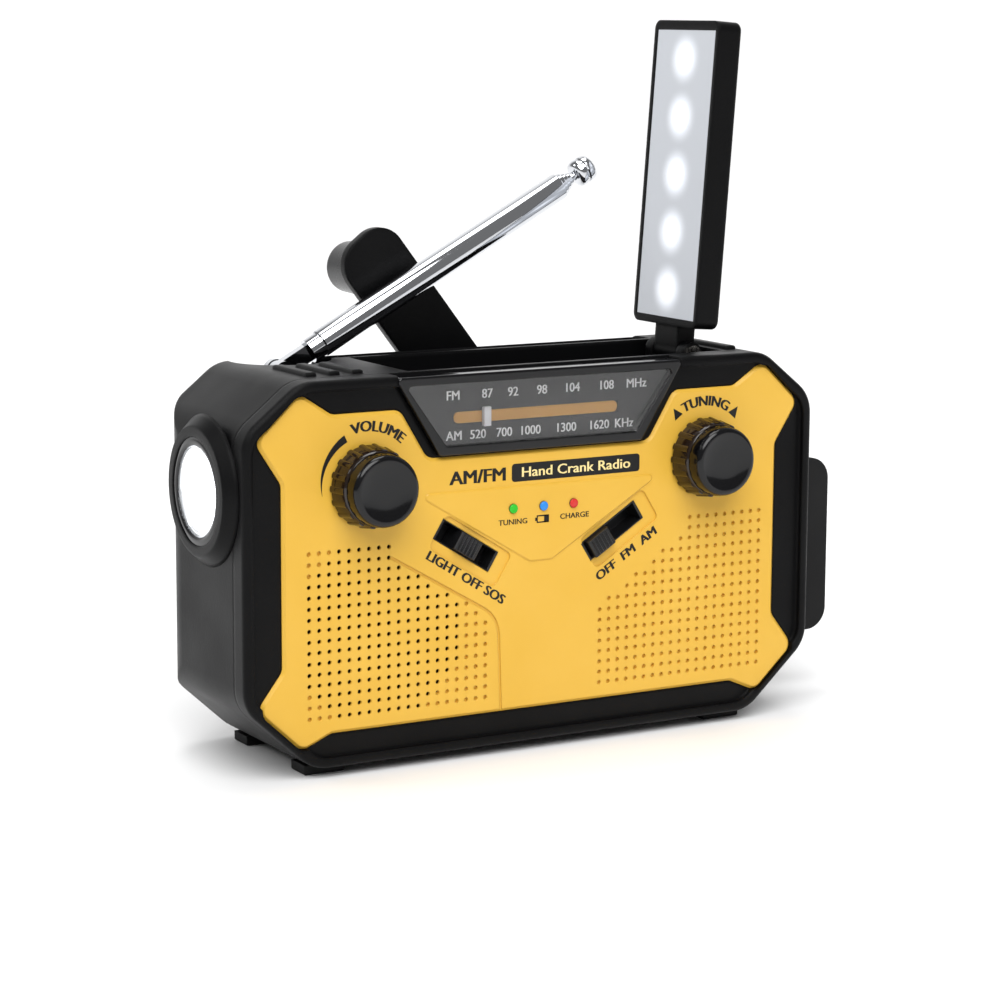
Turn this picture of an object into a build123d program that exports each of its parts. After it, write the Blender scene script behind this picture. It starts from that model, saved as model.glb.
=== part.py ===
from build123d import *
import math
import os

# Emergency radio: a hand-cranked, battery-backed AM/FM radio with a flip-up reading lamp,
# a side flashlight and a telescopic antenna.  Millimetres, +Z up, front facing -Y.
# The origin is on the surface the feet rest on, under the middle of the case's depth.

# ---------------------------------------------------------------- driving dimensions
CASE_W = 151.7          # overall width of the case
CASE_D = 46.0           # front panel face to back wall
CASE_H = 90.0           # top of the case above the feet's resting plane
FOOT_H = 2.4            # height of the rubber feet
WALL = 2.2              # case wall
TOP_CHAMFER = (14.1, 11.3)      # width, height of the upper corners' slopes
BOTTOM_CHAMFER = (17.1, 15.6)   # width, height of the lower corners' slopes
CORNER_R = 9.0          # rounding between the outline's straight runs
REAR_CORNER_R = 13.0    # rounding of the upright edges at the back
BEZEL_D = 4.5           # depth of the front bezel behind the panel face
RIM_PROUD = 0.9         # bezel rim in front of the panel face
RIM_W, RIM_STEP = 2.4, 0.7      # rim's width, and the step down behind it
PANEL_T = 2.0           # yellow front panel
PANEL_CORNER_R = 3.0
BAFFLE_T = 2.0          # bezel floor that the panel is glued to
FIT = 0.3               # clearance between pieces that move past each other
RUN = 0.05              # radial clearance of a shaft in its bore

HOLE_PITCH = 2.5        # speaker grille
HOLE_R = 0.5
HOLE_FIELD_R = 21.6     # through holes lie inside this radius of the speaker's middle
GRILLE_ROWS, GRILLE_COLUMNS = 16, 19
GRILLE_LEFT, GRILLE_TOP = -59.6, 51.5       # first place of the left field
GRILLE_SLOPE = 1.55     # columns gained by each row below the slope
DIMPLE_D = 0.7
BEND_X, BEND_Z, BEND_R = -11.0, 28.0, 8.0   # bend of the groove beside the speaker
RAISED = 0.35           # middle of the panel above the rest
SPEAKER_X, SPEAKER_Z, SPEAKER_R = -41.6, 32.8, 20.0
SPEAKER_D = 13.0

KNOB_X, KNOB_Z = 45.0, 65.8
CAP_R, CAP_H = 8.2, 9.6
SKIRT_R, SKIRT_H = 9.7, 5.6
KNOB_SHAFT_R = 3.0

DIAL_TOP_W, DIAL_BOTTOM_W, DIAL_H = 77.0, 54.0, 18.5
DIAL_FRAME = 2.1        # frame's width around the window
DIAL_SLOT_H, DIAL_SLOT_L = 2.8, 44.0
POINTER_X = -13.8       # the pointer at rest
DRUM_R = 4.2            # dial cord drum: pointer travel per radian of tuning

SWITCH_X, SWITCH_Z, SWITCH_TILT = 19.7, 50.0, 32.0
SWITCH_L, SWITCH_W = 17.3, 5.2
SWITCH_STEP = 4.2       # travel between two switch positions
SLIDER_L = 6.4

DECK_X0, DECK_X1 = -31.5, 47.0      # recess that takes the folded lamp
LAMP_L, LAMP_W, LAMP_T = 73.0, 27.6, 6.7
LAMP_Y = -2.2           # middle of the lamp, front to back
LAMP_PIVOT_X = 49.7
LAMP_RISE = 6.4         # lamp's lower end above the pivot
LAMP_LEAN = 4.3         # past upright, at its stop
LAMP_PIN_R = 1.25

ANT_X = -47.0           # antenna tilt pivot, from the middle
ANT_RAISED = 28.4       # antenna above level
ANT_OUTER_R, ANT_WALL = 3.3, 0.35
ANT_SECTIONS = 5
ANT_BARREL = 74.0       # length of the outer tube
ANT_TRAVEL = 62.0       # how far each inner section pulls out
ANT_WELL_R = 12.2
ANT_STEM_R = 2.2
ANT_TONGUE_L = 12.0     # pivot to the start of the outer tube
ANT_STEP = 1.2          # each closed section shows this much beyond the one around it
ANT_TIP_L = 5.2
ANT_REACH = 97.0        # pivot to the tip, closed

CRANK_X, CRANK_Z, CRANK_R = 28.0, 52.0, 71.5
CRANK_ANGLE = 38.0      # arm from upright, leaning towards -X
ARM_W, ARM_T = 17.0, 3.0
GRIP_R, GRIP_L = 6.7, 15.5
CRANK_SHAFT_R = 3.5
GEAR_MODULE = 0.75
CRANK_TEETH, IDLER_PINION_TEETH = 56, 14
IDLER_TEETH, ROTOR_TEETH = 48, 12
IDLER_DIRECTION = -60.0 # from the crank shaft, in the XZ plane
ROTOR_DIRECTION = 60.0  # from the idler
DYNAMO_R, DYNAMO_L = 13.5, 13.0

TORCH_Y, TORCH_Z = -5.0, 64.5       # flashlight on the left side
TORCH_R, TORCH_PROUD = 17.2, 2.9
TORCH_LENS_R = 12.2
TORCH_SPIGOT_R = 12.4
RIB_L, RIB_Y, RIB_PROUD = 17.0, -7.0, 0.9   # grip ribs on the deck
BACK_EDGE_R = 3.5       # rounding of the edge round the back
SCREW_R, SCREW_HEAD_R = 1.3, 2.6
USB_W, USB_T, DC_W, DC_T, JACK_BODY_R = 13.4, 5.8, 8.2, 3.4, 3.0

FLAP_L, FLAP_Z0, FLAP_Z1, FLAP_T = 18.6, 15.5, 59.5, 2.0
USB_Z, JACK_Z, DC_Z = 42.0, 21.6, 30.0
JACK_R = 1.75

DOOR_X0, DOOR_X1, DOOR_Z0, DOOR_Z1 = -64.0, -8.0, 27.0, 64.5
DOOR_T = 1.8
CELL_R, CELL_L = 5.2, 44.5          # AAA
PACK_R, PACK_L = 9.2, 65.0          # 18650 lithium cell
FOOT_INSET, FOOT_R = 21.85, 5.0     # feet's middles in from the sides
NECK_INSET, EAR_INSET = 9.85, 3.35  # front panel's edge in from the case's side

# ---------------------------------------------------------------- derived positions
FRONT = -CASE_D / 2                 # panel face
BACK = CASE_D / 2
BASE = FOOT_H                       # case underside
HALF_W = CASE_W / 2
PARTING = FRONT + BEZEL_D           # bezel meets rear shell
BAFFLE_Y = FRONT + PANEL_T          # front of the bezel floor
SIDE_X = HALF_W
FOOT_X = HALF_W - FOOT_INSET
DECK_Z = CASE_H - 5.1               # floor of the lamp recess
CHANNEL_Z = CASE_H - 6.8            # floor of the antenna channel
CHANNEL_HALF = ANT_OUTER_R + 0.6
ARM_Y = BACK + 1.2                  # front face of the crank arm
BOARD_Y = BAFFLE_Y + BAFFLE_T + 6.0
BOARD_T = 1.6
BOARD_BACK = BOARD_Y + BOARD_T
PORT_Y = BOARD_BACK + 2.9           # middle of the sockets
FLAP_Y = PORT_Y + 5.5               # flap's hinge line
FERRITE_Y = BOARD_BACK + 13.2
BAY_Y = BACK - 14.2                 # inner face of the battery bay
PACK_Y = BACK - 15.0                # axis of the lithium cell
GEAR_PLATE_Y = BACK - 14.8          # front of the dynamo's gearbox plate
ANT_Y, ANT_Z = BACK - 5.6, CASE_H - 2.8     # antenna tilt pivot
LAMP_PIVOT_Z = CASE_H - 1.4
DIAL_SLOT_Z = CASE_H - 10.8


def put(name, shape):
    """Write one sub-part, named for the real piece."""
    export_step(shape, f"parts/{name}.step")


def box(x0, x1, y0, y1, z0, z1):
    """A box between two corners."""
    size = (x1 - x0, y1 - y0, z1 - z0)
    centre = ((x0 + x1) / 2, (y0 + y1) / 2, (z0 + z1) / 2)
    return Pos(*centre) * Box(*size)


def rod_y(x, z, radius, y0, y1, taper=0.0):
    """A round bar along Y; taper is what its radius loses at the y1 end."""
    plane = Plane(origin=(x, y0, z), x_dir=(1, 0, 0), z_dir=(0, 1, 0))
    if taper:
        bar = Cone(radius, radius - taper, y1 - y0, align=(Align.CENTER, Align.CENTER, Align.MIN))
    else:
        bar = Cylinder(radius, y1 - y0, align=(Align.CENTER, Align.CENTER, Align.MIN))
    return plane * bar


def rod_x(y, z, radius, x0, x1, taper=0.0):
    """A round bar along X from x0 to x1; taper is what its radius loses at the x1 end."""
    towards = 1 if x1 > x0 else -1
    plane = Plane(origin=(x0, y, z), x_dir=(0, 1, 0), z_dir=(towards, 0, 0))
    if taper:
        bar = Cone(radius, radius - taper, abs(x1 - x0), align=(Align.CENTER, Align.CENTER, Align.MIN))
    else:
        bar = Cylinder(radius, abs(x1 - x0), align=(Align.CENTER, Align.CENTER, Align.MIN))
    return plane * bar


def rod_z(x, y, radius, z0, z1):
    """A round bar along Z."""
    bar = Cylinder(radius, z1 - z0, align=(Align.CENTER, Align.CENTER, Align.MIN))
    return Pos(x, y, z0) * bar


def xz_face(points, radius=0.0, y=0.0):
    """A face in the XZ plane at y from a closed outline, its corners rounded."""
    outline = Polyline(*[(x, y, z) for x, z in points], close=True)
    face = make_face(outline.edges())
    if radius:
        face = fillet(face.vertices(), radius)
    return face


def slab(points, y0, y1, radius=0.0):
    """The outline drawn out along Y from y0 to y1."""
    return extrude(xz_face(points, radius, y0), amount=y1 - y0, dir=(0, 1, 0))


def case_outline(inset=0.0):
    """The case seen from the front: a rectangle with sloped corners, moved in by inset."""
    half = HALF_W - inset
    low, high = BASE + inset, CASE_H - inset
    top_w, top_h = TOP_CHAMFER
    low_w, low_h = BOTTOM_CHAMFER
    trim = inset * 0.42         # a mitred slope keeps its own distance from the outer one
    right = [
        (half, low + low_h - trim),
        (half, high - top_h + trim),
        (half - top_w + trim, high),
    ]
    left = [(-x, z) for x, z in reversed(right)]
    return right + left + [(-half + low_w - trim, low), (half - low_w + trim, low)]


def tilted(x, z, degrees, shape):
    """Turn a shape made around the origin about Y and set it at (x, z)."""
    return Pos(x, 0, z) * Rot(0, -degrees, 0) * shape


# ---------------------------------------------------------------- case
def dial_outline(inset=0.0):
    """The dial's trapezoid, wide at the top."""
    top, low = CASE_H - 0.4 - inset, CASE_H - 0.4 - DIAL_H + inset
    wide, narrow = DIAL_TOP_W / 2 - inset * 1.3, DIAL_BOTTOM_W / 2 - inset * 0.8
    return [(wide, top), (-wide, top), (-narrow, low), (narrow, low)]


def panel_outline(grow=0.0):
    """The front panel: an ear in each corner, a neck at each side, a notch for the dial."""
    neck, ear = HALF_W - NECK_INSET + grow, HALF_W - EAR_INSET + grow
    notch_top, notch_low = DIAL_TOP_W / 2 - 3.5, DIAL_BOTTOM_W / 2 + 2.5
    right = [
        (HALF_W - 21.85, 10.1 - grow), (HALF_W - 14.35, 6.8 - grow), (ear, 17.0), (neck, 25.5),
        (neck, CASE_H - 22.5), (ear, CASE_H - 12.5), (HALF_W - 14.05, CASE_H - 2.4 + grow),
        (HALF_W - 22.35, CASE_H - 7.8 + grow), (notch_top + 1.5, CASE_H - 7.8 + grow),
        (notch_low, CASE_H - 0.4 - DIAL_H - 0.4),
    ]
    left = [(-x, z) for x, z in reversed(right)]
    return right + left


def switch_slot(x, side, length, width, y0, y1):
    """A slot under a switch slider; side is +1 where the slot rises towards +X."""
    bar = box(-length / 2, length / 2, y0, y1, -width / 2, width / 2)
    return tilted(x, SWITCH_Z, side * SWITCH_TILT, bar)


def indicator_points():
    """Centres of the three indicator lights, left to right."""
    return [(-7.6, 57.6), (0.5, 57.6), (8.6, 57.6)]


def front_openings(y0, y1, clearance):
    """What passes through the panel and the bezel floor: knobs' shafts, switches, lights."""
    tools = [rod_y(side * KNOB_X, KNOB_Z, KNOB_SHAFT_R + RUN, y0, y1) for side in (-1, 1)]
    for side in (-1, 1):
        tools.append(switch_slot(side * SWITCH_X, side, SWITCH_L, SWITCH_W + clearance, y0, y1))
    tools += [rod_y(x, z, 1.1, y0, y1) for x, z in indicator_points()]
    return tools


def speaker_grille():
    """The left field of the grille: a drill for each hole over the speaker, and a blind
    dimple for each place beyond it.  The field ends at the sloping groove."""
    tools = []
    for row in range(GRILLE_ROWS):
        z = GRILLE_TOP - HOLE_PITCH * row
        last = min(GRILLE_COLUMNS - 1, max(8, int(8.3 + GRILLE_SLOPE * (row - 1))))
        for column in range(last + 1):
            x = GRILLE_LEFT + HOLE_PITCH * column
            over_cone = math.hypot(x - SPEAKER_X, z - SPEAKER_Z) < HOLE_FIELD_R and column < 16
            depth = BAFFLE_Y + 1 if over_cone else FRONT + DIMPLE_D
            tools.append(rod_y(x, z, HOLE_R, FRONT - 1, depth))
    return tools


def blind_grille():
    """The right field: dimples only, mirrored from the left one's slope."""
    tools = []
    for row in range(GRILLE_ROWS):
        z = GRILLE_TOP - HOLE_PITCH * row
        first = max(0, min(10, math.ceil(9.9 - GRILLE_SLOPE * (row - 1))))
        for column in range(first, GRILLE_COLUMNS):
            x = -GRILLE_LEFT + HOLE_PITCH * (column - GRILLE_COLUMNS + 1.7)
            tools.append(rod_y(x, z, HOLE_R, FRONT - 1, FRONT + DIMPLE_D))
    return tools


def groove(points, width, depth):
    """A shallow groove in the panel's face along a run of points, round at each point."""
    bottom = FRONT + depth
    tools = [rod_y(x, z, width / 2, FRONT - 1, bottom) for x, z in points]
    for (x0, z0), (x1, z1) in zip(points, points[1:]):
        length = math.hypot(x1 - x0, z1 - z0)
        angle = math.degrees(math.atan2(z1 - z0, x1 - x0))
        run = box(0, length, FRONT - 1, bottom, -width / 2, width / 2)
        tools.append(tilted(x0, z0, angle, run))
    return tools


def groove_route():
    """The groove round the speaker's field: down the slope, round a bend, to the lower edge."""
    bend = [
        (BEND_X - BEND_R * (1 - math.sin(math.radians(turn))),
         BEND_Z + BEND_R * math.cos(math.radians(turn)))
        for turn in range(30, 91, 15)
    ]
    return [(-39.0, 48.9)] + bend + [(BEND_X + 0.6, 10.6)]


def rounded_block(inset):
    """A block as wide as the case whose two upright edges at the back are rounded."""
    half, back = HALF_W - inset, BACK - inset
    block = box(-half, half, FRONT - 20, back, BASE - 9, CASE_H + 9)
    uprights = block.edges().filter_by(Axis.Z).group_by(Axis.Y)[-1]
    return fillet(uprights, REAR_CORNER_R - inset)


def screw_places():
    """The four case screws, in from the corners."""
    return [(side * x, z) for side in (-1, 1)
            for x, z in ((HALF_W - 19.85, 9.6), (HALF_W - 13.85, CASE_H - 14.0))]


def lamp_recess(grow, low, high):
    """The lamp's place in the deck, grown on every side."""
    half = LAMP_W / 2 + 0.6 + grow
    return box(DECK_X0 - grow, LAMP_PIVOT_X + 4.3 + grow, LAMP_Y - half, LAMP_Y + half, low, high)


def antenna_channel(grow, low, high):
    """The antenna's place along the back of the deck, grown on every side."""
    half = CHANNEL_HALF + grow
    end = ANT_X + ANT_REACH + 3.0 + grow
    return box(ANT_X, end, ANT_Y - half, ANT_Y + half, low, high)


def grip_ribs(side):
    """Three raised ribs across the deck at one end of the case."""
    ribs = []
    first, number = (43.5, 3) if side < 0 else (57.5, 1)
    for count in range(number):
        x = side * (first + 5.8 * count)
        rib = box(-1.3, 1.3, -RIB_L / 2, RIB_L / 2, -1.0, RIB_PROUD)
        rib = fillet(rib.edges().group_by(Axis.Z)[-1], 0.6)
        ribs.append(Pos(x, RIB_Y, CASE_H) * rib)
    return ribs


def base_ribs():
    """A row of low ribs under the case between the feet, for grip."""
    rib = box(-1.0, 1.0, PARTING + 1.0, BACK - 7.0, BASE - 1.2, BASE + 0.5)
    rib = fillet(rib.edges().group_by(Axis.Z)[0], 0.7)
    count = 13
    return [Pos(3.4 * place, 0, 0) * rib for place in range(-count, count + 1)]


def make_rear_shell():
    inside = rounded_block(WALL)
    envelope = rounded_block(0)
    outer = slab(case_outline(), PARTING, BACK, CORNER_R)
    outer = fillet(outer.faces().sort_by(Axis.Y)[-1].edges(), BACK_EDGE_R) & envelope
    hollow = slab(case_outline(WALL), PARTING - 1, BACK - WALL, CORNER_R - WALL) & inside
    shell = outer - hollow

    lugs = [rod_y(x, z, 4.2, PARTING + 4, BACK - 1) for x, z in screw_places()]
    well = rod_z(ANT_X, ANT_Y, ANT_WELL_R + WALL, CHANNEL_Z - 5, CASE_H - 1)
    bay = box(DOOR_X0 - WALL, DOOR_X1 + WALL, BAY_Y - WALL, BACK - 1, DOOR_Z0 - WALL, DOOR_Z1 + WALL)
    sockets = box(SIDE_X - 5, SIDE_X - 1, PARTING + 3.2, -1.5, FLAP_Z0 + 1, FLAP_Z1 - 1)
    within = slab(case_outline(1), PARTING, BACK - 1) & envelope
    trays = [
        lamp_recess(WALL, DECK_Z - WALL, CASE_H - 1) & within,
        antenna_channel(WALL, CHANNEL_Z - WALL, CASE_H - 1) & within,
        well & within,
    ]
    shell = shell + lugs + trays + [bay, sockets] + grip_ribs(-1) + grip_ribs(1) + base_ribs()

    top = CASE_H + 5
    cuts = [
        lamp_recess(0, DECK_Z, top),
        antenna_channel(0, CHANNEL_Z, top),
        rod_z(ANT_X, ANT_Y, ANT_WELL_R, CHANNEL_Z, top),
        rod_z(ANT_X, ANT_Y, ANT_STEM_R + RUN, CHANNEL_Z - 9, top),
        box(DOOR_X0 + 2, DOOR_X1 - 2, BAY_Y, BACK + 1, DOOR_Z0 + 2, DOOR_Z1 - 2),
        box(DOOR_X0, DOOR_X1, BACK - DOOR_T - 0.3, BACK + 1, DOOR_Z0, DOOR_Z1),
        rod_y(CRANK_X, CRANK_Z, CRANK_SHAFT_R + RUN, BACK - 8, BACK + 1),
        rod_x(TORCH_Y, TORCH_Z, TORCH_SPIGOT_R, -SIDE_X - 1, -SIDE_X + 9),
        box(SIDE_X - 2.5, SIDE_X + 1, -14.5, FLAP_Y - 1.7, FLAP_Z0 + 2.5, FLAP_Z1 - 2.5),
        box(SIDE_X - 1.5, SIDE_X + 1, FLAP_Y - 1.3, FLAP_Y + 1.3, FLAP_Z0, FLAP_Z1),
    ]
    for x, z in screw_places():
        cuts.append(rod_y(x, z, SCREW_R, PARTING, BACK + 1))
        cuts.append(rod_y(x, z, SCREW_HEAD_R + 0.2, BACK - 5, BACK + 1))
    put("rear_shell", (shell - cuts - socket_openings()) + lamp_ears())


def socket_openings():
    """Holes in the right side for the three sockets."""
    inner, outer = SIDE_X - 14, SIDE_X + 1
    return [
        box(inner, outer, PORT_Y - USB_T / 2, PORT_Y + USB_T / 2, USB_Z - USB_W / 2, USB_Z + USB_W / 2),
        rod_x(PORT_Y, JACK_Z, JACK_BODY_R, inner, outer),
        box(inner, outer, PORT_Y - DC_T / 2, PORT_Y + DC_T / 2, DC_Z - DC_W / 2, DC_Z + DC_W / 2),
    ]


def make_front_bezel():
    bezel = slab(case_outline(), FRONT - RIM_PROUD, PARTING, CORNER_R)
    bezel = fillet(bezel.faces().sort_by(Axis.Y)[0].edges(), 1.2)
    lip = slab(case_outline(WALL + 0.1), PARTING - 1, PARTING + 3, CORNER_R - WALL)
    lip = lip - slab(case_outline(WALL + 1.7), PARTING - 2, PARTING + 4, CORNER_R - WALL - 1)
    bezel = bezel + lip
    posts = [rod_y(x, z, 3.4, BAFFLE_Y, PARTING + 3.8) for x, z in screw_places()]
    bezel = bezel - slab(case_outline(WALL + 1.7), BAFFLE_Y + BAFFLE_T, PARTING + 4, 2.6)
    bezel = bezel + posts
    cuts = [
        slab(panel_outline(0.1), FRONT - 2, BAFFLE_Y, PANEL_CORNER_R),
        slab(case_outline(RIM_W), FRONT - 2, FRONT + RIM_STEP, CORNER_R - RIM_W),
        slab(dial_outline(), FRONT - 2, PARTING + 4, 1.0),
        box(-DIAL_TOP_W / 2 + 1, DIAL_TOP_W / 2 - 1, FRONT - 2, PARTING, CASE_H - 2, CASE_H + 1),
        rod_x(TORCH_Y, TORCH_Z, TORCH_SPIGOT_R + 0.2, -SIDE_X + 12, -SIDE_X + WALL),
        lamp_recess(WALL + 0.3, DECK_Z - WALL - 0.3, CASE_H + 1)
        & box(-SIDE_X, SIDE_X, PARTING, 0, 0, CASE_H + 1),
        rod_y(SPEAKER_X, SPEAKER_Z, SPEAKER_R + 1.2, BAFFLE_Y - 1, PARTING),
    ]
    cuts += [rod_y(x, z, SCREW_R, PARTING - 3, PARTING + 5) for x, z in screw_places()]
    put("front_bezel", bezel - cuts - front_openings(BAFFLE_Y - 1, PARTING, 0.3))


def make_front_panel():
    """The yellow panel, with its raised middle, switch pockets, grille and groove."""
    panel = slab(panel_outline(), FRONT, BAFFLE_Y, PANEL_CORNER_R)
    panel = chamfer(panel.faces().sort_by(Axis.Y)[0].edges(), 0.7)
    raised = slab([(-33, 62.8), (33, 62.8), (3, 44.8), (-3, 44.8)], FRONT - RAISED, FRONT + 1, 1.0)
    panel = panel + chamfer(raised.faces().sort_by(Axis.Y)[0].edges(), RAISED * 0.9)
    pockets = []
    for side in (-1, 1):
        shape = box(-SWITCH_L / 2 - 1.5, SWITCH_L / 2 + 1.5, FRONT - 1, FRONT + 0.5, -4.4, 4.4)
        shape = Pos(1.8, 0, -0.6) * fillet(shape.edges().filter_by(Axis.Y), 1.5)
        pockets.append(tilted(side * SWITCH_X, SWITCH_Z, side * SWITCH_TILT, shape))
    panel = panel - pockets - speaker_grille() - blind_grille()
    panel = panel - groove(groove_route(), 0.6, 0.35)
    put("front_panel", panel - front_openings(FRONT - 1, BAFFLE_Y + 1, 0.0))


def make_dial():
    """The glossy frame, its window, the printed scale, the lit strip and the pointer."""
    frame = slab(dial_outline(0.05), FRONT - 1.1, PARTING - 0.3, 1.0)
    frame = fillet(frame.faces().sort_by(Axis.Y)[0].edges(), 0.5)
    inner = slab(dial_outline(DIAL_FRAME), FRONT - 3, PARTING + 1, 0.8)
    put("dial_frame", frame - inner)
    put("dial_window", slab(dial_outline(DIAL_FRAME), FRONT - 0.7, FRONT + 0.8, 0.8))
    half = DIAL_SLOT_L / 2
    slot = box(-half, half, FRONT, PARTING, DIAL_SLOT_Z - DIAL_SLOT_H / 2, DIAL_SLOT_Z + DIAL_SLOT_H / 2)
    scale_y = FRONT + 2.6
    plate = slab(dial_outline(DIAL_FRAME), scale_y, scale_y + 0.8, 0.8)
    strip = box(-half - 2, half + 2, scale_y + 0.7, scale_y + 1.5, DIAL_SLOT_Z - 3, DIAL_SLOT_Z + 3)
    put("dial_scale", plate - slot + strip)
    pointer = box(POINTER_X - 0.9, POINTER_X + 0.9, scale_y - 1.4, scale_y - 0.3,
                  DIAL_SLOT_Z - 2.2, DIAL_SLOT_Z + 2.2)
    put("dial_pointer", pointer)


# ---------------------------------------------------------------- controls
def make_knob(name, side):
    """A knob's black cap and ribbed skirt; returns the shaft they are pressed on."""
    x, z = side * KNOB_X, KNOB_Z
    back = FRONT - 0.4
    cap = rod_y(x, z, CAP_R, back - CAP_H, back)
    cap = fillet(cap.faces().sort_by(Axis.Y)[0].edges(), 1.2)
    put(f"{name}_knob_cap", cap - rod_y(x, z, KNOB_SHAFT_R, back - CAP_H + 2, back + 1))
    skirt = rod_y(x, z, SKIRT_R - 0.7, back - SKIRT_H, back, -0.7)
    put(f"{name}_knob_skirt", skirt - rod_y(x, z, CAP_R, back - SKIRT_H - 1, back + 1))
    return rod_y(x, z, KNOB_SHAFT_R, back - CAP_H + 2, BOARD_Y - 0.4)


def make_knobs():
    put("volume_shaft", make_knob("volume", -1))
    pot_y = BAFFLE_Y + BAFFLE_T + 0.1
    pot = box(-KNOB_X - 6, -KNOB_X + 6, pot_y, BOARD_Y, KNOB_Z - 6, KNOB_Z + 6)
    put("volume_potentiometer", pot - rod_y(-KNOB_X, KNOB_Z, KNOB_SHAFT_R + RUN, FRONT, BOARD_Y - 0.2))
    drum = rod_y(KNOB_X, KNOB_Z, DRUM_R, BOARD_Y - 4.6, BOARD_Y - 1.6)
    for y in (BOARD_Y - 5.2, BOARD_Y - 1.6):
        drum = drum + rod_y(KNOB_X, KNOB_Z, DRUM_R + 1.8, y, y + 0.6)
    put("tuning_spindle", make_knob("tuning", 1) + drum)
    condenser = box(KNOB_X - 8, KNOB_X + 8, BOARD_Y + BOARD_T, BOARD_Y + BOARD_T + 5.4,
                    KNOB_Z - 8, KNOB_Z + 8)
    put("tuning_condenser", condenser)


def make_switches():
    """Two slide switches: the bodies stay, the sliders travel along their slots."""
    bodies = []
    for name, side, offset in (("light", -1, 0.0), ("band", 1, -SWITCH_STEP)):
        x = side * SWITCH_X
        tilt = side * SWITCH_TILT
        back = BAFFLE_Y + BAFFLE_T
        half = SLIDER_L / 2
        width = SWITCH_W / 2 - 0.4
        reach = SWITCH_L / 2 - 0.1
        body = box(-9, 9, back + 0.1, BOARD_Y, -4, 4)
        body = body + box(-reach, reach, FRONT + 0.3, back + 0.1, -width - 0.3, width + 0.3)
        body = body - box(-reach + 0.6, reach - 0.6, FRONT, back + 1.6, -width - 0.15, width + 0.15)
        bodies.append(tilted(x, SWITCH_Z, tilt, body))
        slider = box(-half, half, FRONT - 1.2, back + 1.2, -width, width)
        ridge_edges = slider.edges().filter_by(Axis.Z).group_by(Axis.Y)[0]
        slider = fillet(ridge_edges, 0.5)
        put(f"{name}_switch_slider", tilted(x, SWITCH_Z, tilt, Pos(offset, 0, 0) * slider))
    put("switch_bodies", Compound(bodies))


def make_indicators():
    lights = [rod_y(x, z, 1.05, FRONT - RAISED - 0.3, BOARD_Y) for x, z in indicator_points()]
    put("indicator_lights", Compound(lights))


# ---------------------------------------------------------------- inside the case
def make_speaker():
    x, z, y = SPEAKER_X, SPEAKER_Z, BAFFLE_Y + BAFFLE_T
    frame = rod_y(x, z, SPEAKER_R + 1.6, y, y + 1.2) - rod_y(x, z, SPEAKER_R - 2, y - 1, y + 2)
    basket = rod_y(x, z, SPEAKER_R - 1.0, y + 1.2, y + 7.0, 8.0)
    basket = basket - rod_y(x, z, SPEAKER_R - 2.0, y + 1.1, y + 6.2, 8.0)
    basket = basket - rod_y(x, z, 6.0, y + 5, y + 8)
    magnet = rod_y(x, z, 10.0, y + 6.8, y + SPEAKER_D)
    put("speaker_frame", frame + basket + magnet)
    cone = rod_y(x, z, SPEAKER_R - 2.4, y + 0.2, y + 5.0, 10.0)
    cone = cone - rod_y(x, z, SPEAKER_R - 3.2, y + 0.1, y + 4.4, 10.0)
    put("speaker_cone", cone)


def make_boards():
    back = BOARD_Y + BOARD_T
    board = box(-16, 56.5, BOARD_Y, back, 12, 80) + box(-56, -16, BOARD_Y, back, 57, 80)
    lug_room = [rod_y(x, z, 5.0, FRONT, BACK) for x, z in screw_places()]
    board = board - lug_room
    put("circuit_boards", Compound([board, box(57.2, 70.6, BOARD_Y, back, 19, 56)]))
    usb = box(60, SIDE_X - 0.8, back, back + USB_T - 0.2, USB_Z - 6.6, USB_Z + 6.6)
    mouth = box(63, SIDE_X, back + 0.6, back + 5.0, USB_Z - 6.0, USB_Z + 6.0)
    tongue = box(62, SIDE_X - 2.5, back + 1.1, back + 2.9, USB_Z - 5.4, USB_Z + 5.4)
    put("usb_socket", usb - mouth + tongue)
    jack = rod_x(PORT_Y, JACK_Z, JACK_BODY_R - 0.1, 60, SIDE_X - 0.8)
    put("headphone_socket", jack - rod_x(PORT_Y, JACK_Z, JACK_R, 61.5, SIDE_X))
    charge = box(66, SIDE_X - 0.8, PORT_Y - 1.6, PORT_Y + 1.6, DC_Z - 4.0, DC_Z + 4.0)
    charge = charge - box(67, SIDE_X, PORT_Y - 1.1, PORT_Y + 1.1, DC_Z - 3.5, DC_Z + 3.5)
    put("charging_socket", charge)
    put("ferrite_aerial", rod_x(FERRITE_Y, CASE_H - 14.5, 4.5, -30, 24)
        + rod_x(FERRITE_Y, CASE_H - 14.5, 5.6, -12, 6))


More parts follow.
